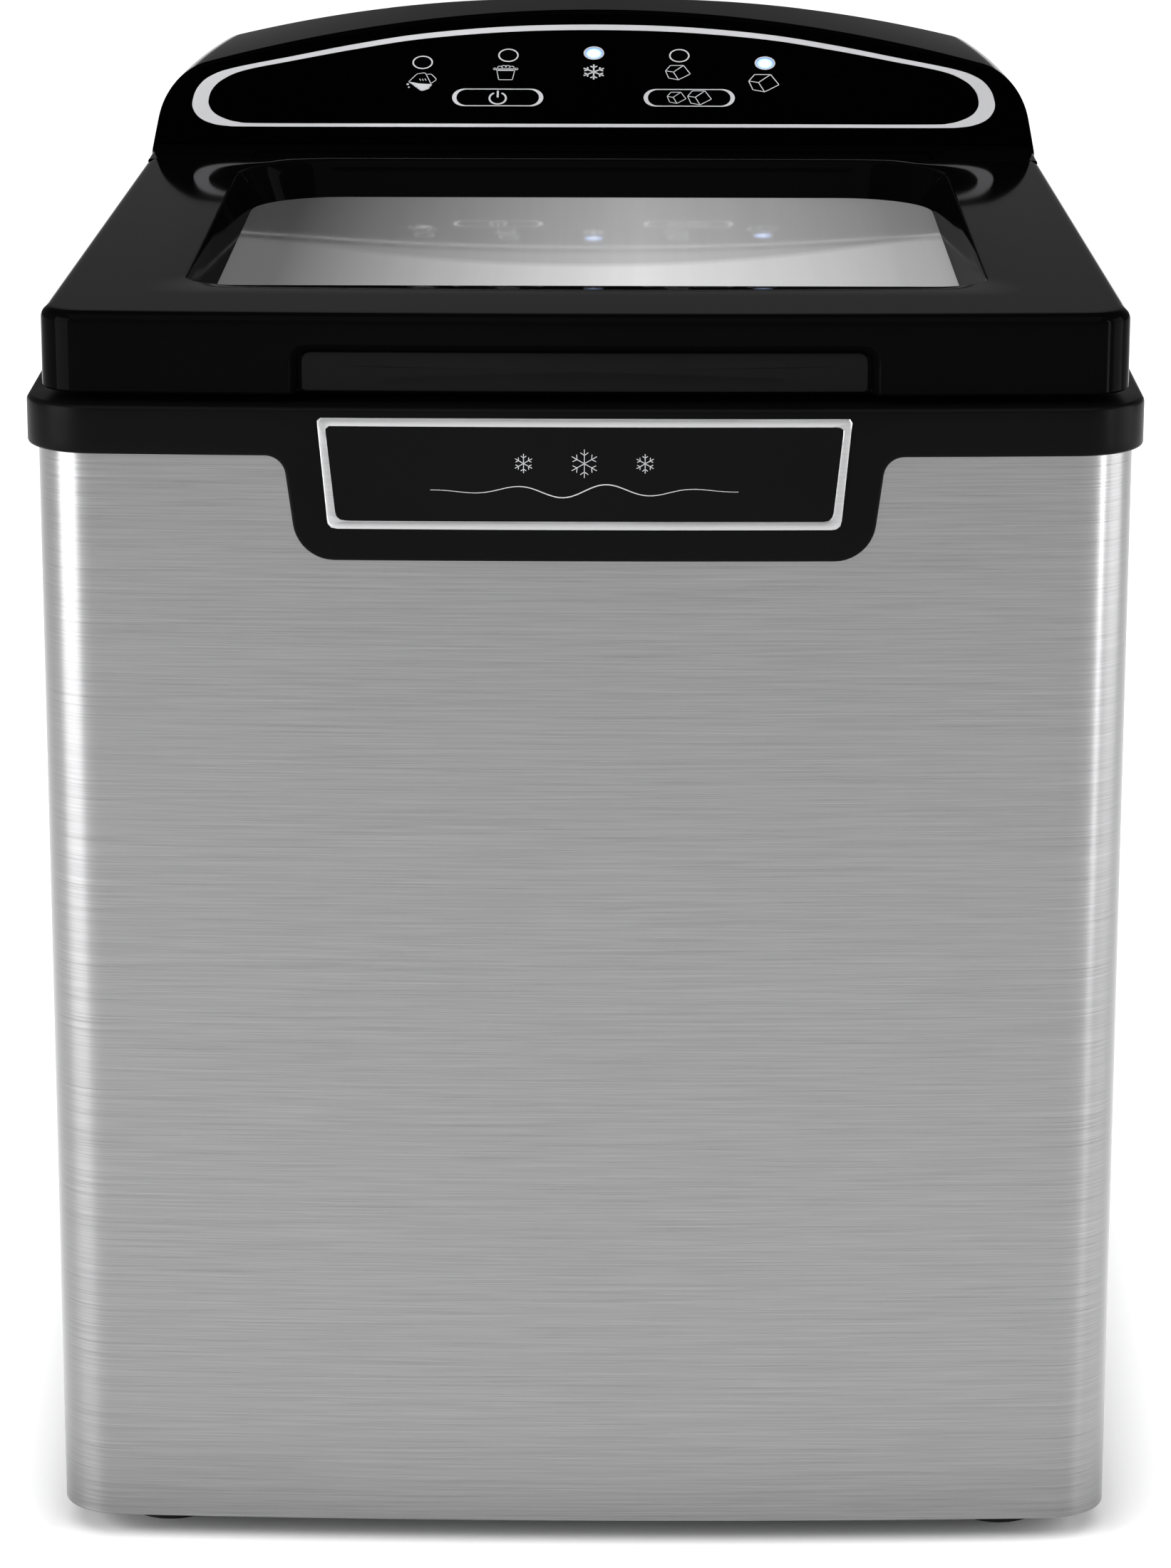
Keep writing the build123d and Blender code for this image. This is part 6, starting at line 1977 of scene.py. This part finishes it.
        size = small + large + [self.key_outline(self.key_side)]
        pieces.append(self.put("power_sign", power, "power_key", on_key))
        pieces.append(self.put("size_sign", size, "size_key", on_key))
        return pieces

    def put(self, name: str, shapes: list[Shape], body: str, lift: float) -> bpy.types.Object:
        """Lays flat shapes on the face, a little above it, and rides them on a body.

        Args:
            name: the piece's name.
            shapes: flat shapes in face coordinates.
            body: the body it rides.
            lift: height above the face.

        Returns:
            The piece.
        """
        flat = Shape.join(shapes).moved(np.eye(3), (0, 0, lift))
        piece = make_piece(name, self.face.place(flat), self.palette.print, 30, weld=False)
        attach(piece, body)
        return piece


@dataclass
class Lights:
    """The two working lights of the five; the rest are dark lenses."""

    face: FacePlane
    lens_radius: float = 2.3

    def build(self) -> None:
        """Gives each lit lens a glow centred on its box."""
        for node in ("making_light", "large_ice_light"):
            low, high = node_box(node)
            row = self.face.lid_top
            top = high[2] - row
            s = top / self.face.sin - self.lens_radius
            centre = ((low[0] + high[0]) / 2, self.face.front + s * self.face.cos)
            mesh = frame["nodes"][node].data
            mesh.materials.clear()
            mesh.materials.append(LitLens("glow_" + node, centre, self.lens_radius).material())


# ------------------------------------------------------------------ feet
@dataclass
class Feet:
    """Ribbed rubber feet: a stepped profile turned round each foot's own upright axis."""

    palette: Palette
    radius: float = 11.0
    turn_count: int = 48

    def build(self) -> list[bpy.types.Object]:
        """Each point is the profile's radius times cos and sin of the turn, at the profile's height.

        Returns:
            The pieces made.
        """
        high = node_box("rubber_feet")[1]
        radius = self.radius
        x, y = high[0] - radius, high[1] - radius
        sole = [(6.0, 0.5), (6.4, 0.0), (7.6, 0.0), (8.0, 0.5), (8.4, 0.0), (9.6, 0.0), (10.3, 0.7)]
        side = [(radius, 2.2), (radius, 3.4), (10.4, 3.7), (10.4, 4.3), (radius, 4.6), (radius, 7.2)]
        stem = [(10.6, 7.9), (3.0, 7.95), (2.9, high[2])]
        profile = np.array(sole + side + stem)
        out, up = profile[:, :1], profile[:, 1:]
        angle = 2 * math.pi * np.arange(self.turn_count) / self.turn_count
        foot = Shape.tube(np.stack(np.broadcast_arrays(out * np.cos(angle), out * np.sin(angle), up), axis=2))
        places = [(sx * x, sy * y, 0) for sx in (-1, 1) for sy in (-1, 1)]
        feet = Shape.join([foot.moved(np.eye(3), place) for place in places])
        piece = make_piece("ribbed_feet", feet, self.palette.rubber, 30)
        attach(piece, "casing")
        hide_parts("rubber_feet")
        return [piece]


# ------------------------------------------------------------------ studio
@dataclass(frozen=True)
class Softbox:
    """One soft lamp: place, what it faces, size and power."""

    name: str
    place: tuple[float, float, float]
    target: tuple[float, float, float]
    size: tuple[float, float]
    power: float

    def build(self) -> None:
        """Area lamp turned towards its target."""
        data = bpy.data.lights.new(self.name, "AREA")
        data.shape = "RECTANGLE"
        data.size, data.size_y = self.size
        data.energy = self.power
        lamp = bpy.data.objects.new(self.name, data)
        bpy.context.scene.collection.objects.link(lamp)
        lamp.location = self.place
        way = Vector(self.target) - Vector(self.place)
        lamp.rotation_euler = way.to_track_quat("-Z", "Y").to_euler()


@dataclass
class Studio:
    """Pale floor, soft lamps, dim surroundings and the camera."""

    floor_size: float = 30.0
    floor_glow: float = 0.95
    # width of the painted contact shadow round the machine, in metres
    painted_shade_reach: float = 0.052
    surround: float = 0.1
    horizon: float = 0.24
    horizon_band: float = 0.3
    horizon_fade: float = 0.24
    lens: float = 119.43
    camera_place: tuple[float, float, float] = (0.009298, -1.268732, 0.474139)
    camera_right: tuple[float, float, float] = (0.99996309, 0.0085205, 0.00110694)
    camera_up: tuple[float, float, float] = (-0.00329154, 0.26087764, 0.96536626)
    camera_ahead: tuple[float, float, float] = (-0.00793663, 0.96533427, -0.26089605)

    def build(self) -> None:
        """Makes floor, world, lamps and camera."""
        self.floor()
        self.world()
        for lamp in (
            Softbox("overhead", (0.0, -1.4, 2.5), (0.0, -0.3, 0.0), (3.4, 2.4), 62.0),
            Softbox("left_strip", (-1.15, -0.7, 0.35), (-0.1, -0.15, 0.16), (0.8, 1.1), 27.0),
            Softbox("right_strip", (1.15, -0.72, 0.35), (0.1, -0.15, 0.16), (0.14, 1.0), 9.0),
            Softbox("right_side", (1.3, -0.1, 0.35), (0.1, -0.12, 0.16), (0.7, 1.1), 12.0),
        ):
            lamp.build()
        self.camera()

    def floor(self) -> None:
        """Wide flat grid, nearly white and matt, with a faint glow of its own.

        The glow fades in with the distance outside the machine's plan: the weak glow close to the machine is
        a painted contact shadow, and farther out the full glow hides the lamps' shade.
        """
        edge = np.linspace(-self.floor_size / 2, self.floor_size / 2, 13) / MM
        x, y = np.meshgrid(edge, edge, indexing="ij")
        tree = NodeTree("pale_floor")
        cloud = tree.noise(tree.coordinates((1, 1, 1)), 3.0)
        tree.tint(tree.spread(cloud, 0.0, 1.0), (0.88,) * 3, (0.9,) * 3)
        tree.constant(Roughness=0.9)
        tree.shader.inputs["Specular IOR Level"].default_value = 0.0
        tree.shader.inputs["Emission Color"].default_value = (1, 1, 1, 1)
        place = tree.add("ShaderNodeTexCoord")
        corner = (CAD_BOX[1][0], CAD_BOX[1][1], 0.0)
        steps = (("ABSOLUTE", None), ("SUBTRACT", corner), ("MAXIMUM", (0.0, 0.0, 0.0)), ("LENGTH", None))
        value = place.outputs["Object"]
        for operation, other in steps:
            node = tree.add("ShaderNodeVectorMath", operation=operation)
            tree.links.new(value, node.inputs[0])
            if other is not None:
                node.inputs[1].default_value = other
            value = node.outputs["Value" if operation == "LENGTH" else "Vector"]
        # painted contact shadow: no glow at the machine's plan, full glow a short reach outside it
        tree.into(tree.spread(value, 0.0, self.floor_glow, 0.0, self.painted_shade_reach), "Emission Strength")
        plane = make_piece("floor", Shape.grid(np.stack([x, y, np.zeros_like(x)], axis=2)), tree.material)

    def world(self) -> None:
        """Pale grey near the horizon that dims upwards, by the sine of the height above it."""
        world = bpy.data.worlds.new("studio")
        world.use_nodes = True
        nodes, links = world.node_tree.nodes, world.node_tree.links
        back = nodes["Background"]
        back.inputs["Color"].default_value = (1, 1, 1, 1)
        place = nodes.new("ShaderNodeTexCoord")
        split = nodes.new("ShaderNodeSeparateXYZ")
        grade = nodes.new("ShaderNodeMapRange")
        grade.inputs["From Min"].default_value = self.horizon_band
        grade.inputs["From Max"].default_value = self.horizon_band + self.horizon_fade
        grade.inputs["To Min"].default_value = self.horizon
        grade.inputs["To Max"].default_value = self.surround
        links.new(place.outputs["Generated"], split.inputs[0])
        links.new(split.outputs["Z"], grade.inputs["Value"])
        links.new(grade.outputs["Result"], back.inputs["Strength"])
        bpy.context.scene.world = world
        bpy.context.scene.view_settings.view_transform = "Standard"

    def camera(self) -> None:
        """Long lens in front, a little above the lid, looking slightly down."""
        data = bpy.data.cameras.new("camera")
        data.lens = self.lens
        data.sensor_width = 36.0
        data.sensor_fit = "AUTO"
        data.clip_start, data.clip_end = 0.05, 60
        back = -Vector(self.camera_ahead)
        turn = Matrix((self.camera_right, self.camera_up, back)).transposed().to_4x4()
        camera = bpy.data.objects.new("camera", data)
        bpy.context.scene.collection.objects.link(camera)
        camera.matrix_world = Matrix.Translation(self.camera_place) @ turn
        bpy.context.scene.camera = camera


def main() -> None:
    """Builds each sub-assembly in order and reports its pieces."""
    logging.basicConfig(level=logging.INFO, format="%(name)s: %(message)s")
    palette = Palette()
    palette.dress()
    face = FacePlane(node_box("lid_frame")[1][2], node_box("control_housing")[0][1] + EAR_REACH)
    builders = (SteelSkin(palette), TopRim(palette), Badge(palette), Lid(palette), Housing(palette, face),
                FacePrint(palette, face), Feet(palette))
    for builder in builders:
        for piece in builder.build():
            LOG.info("%s: %d faces", piece.name, len(piece.data.polygons))
    Lights(face).build()
    Studio().build()


if __name__ == "__main__":
    main()
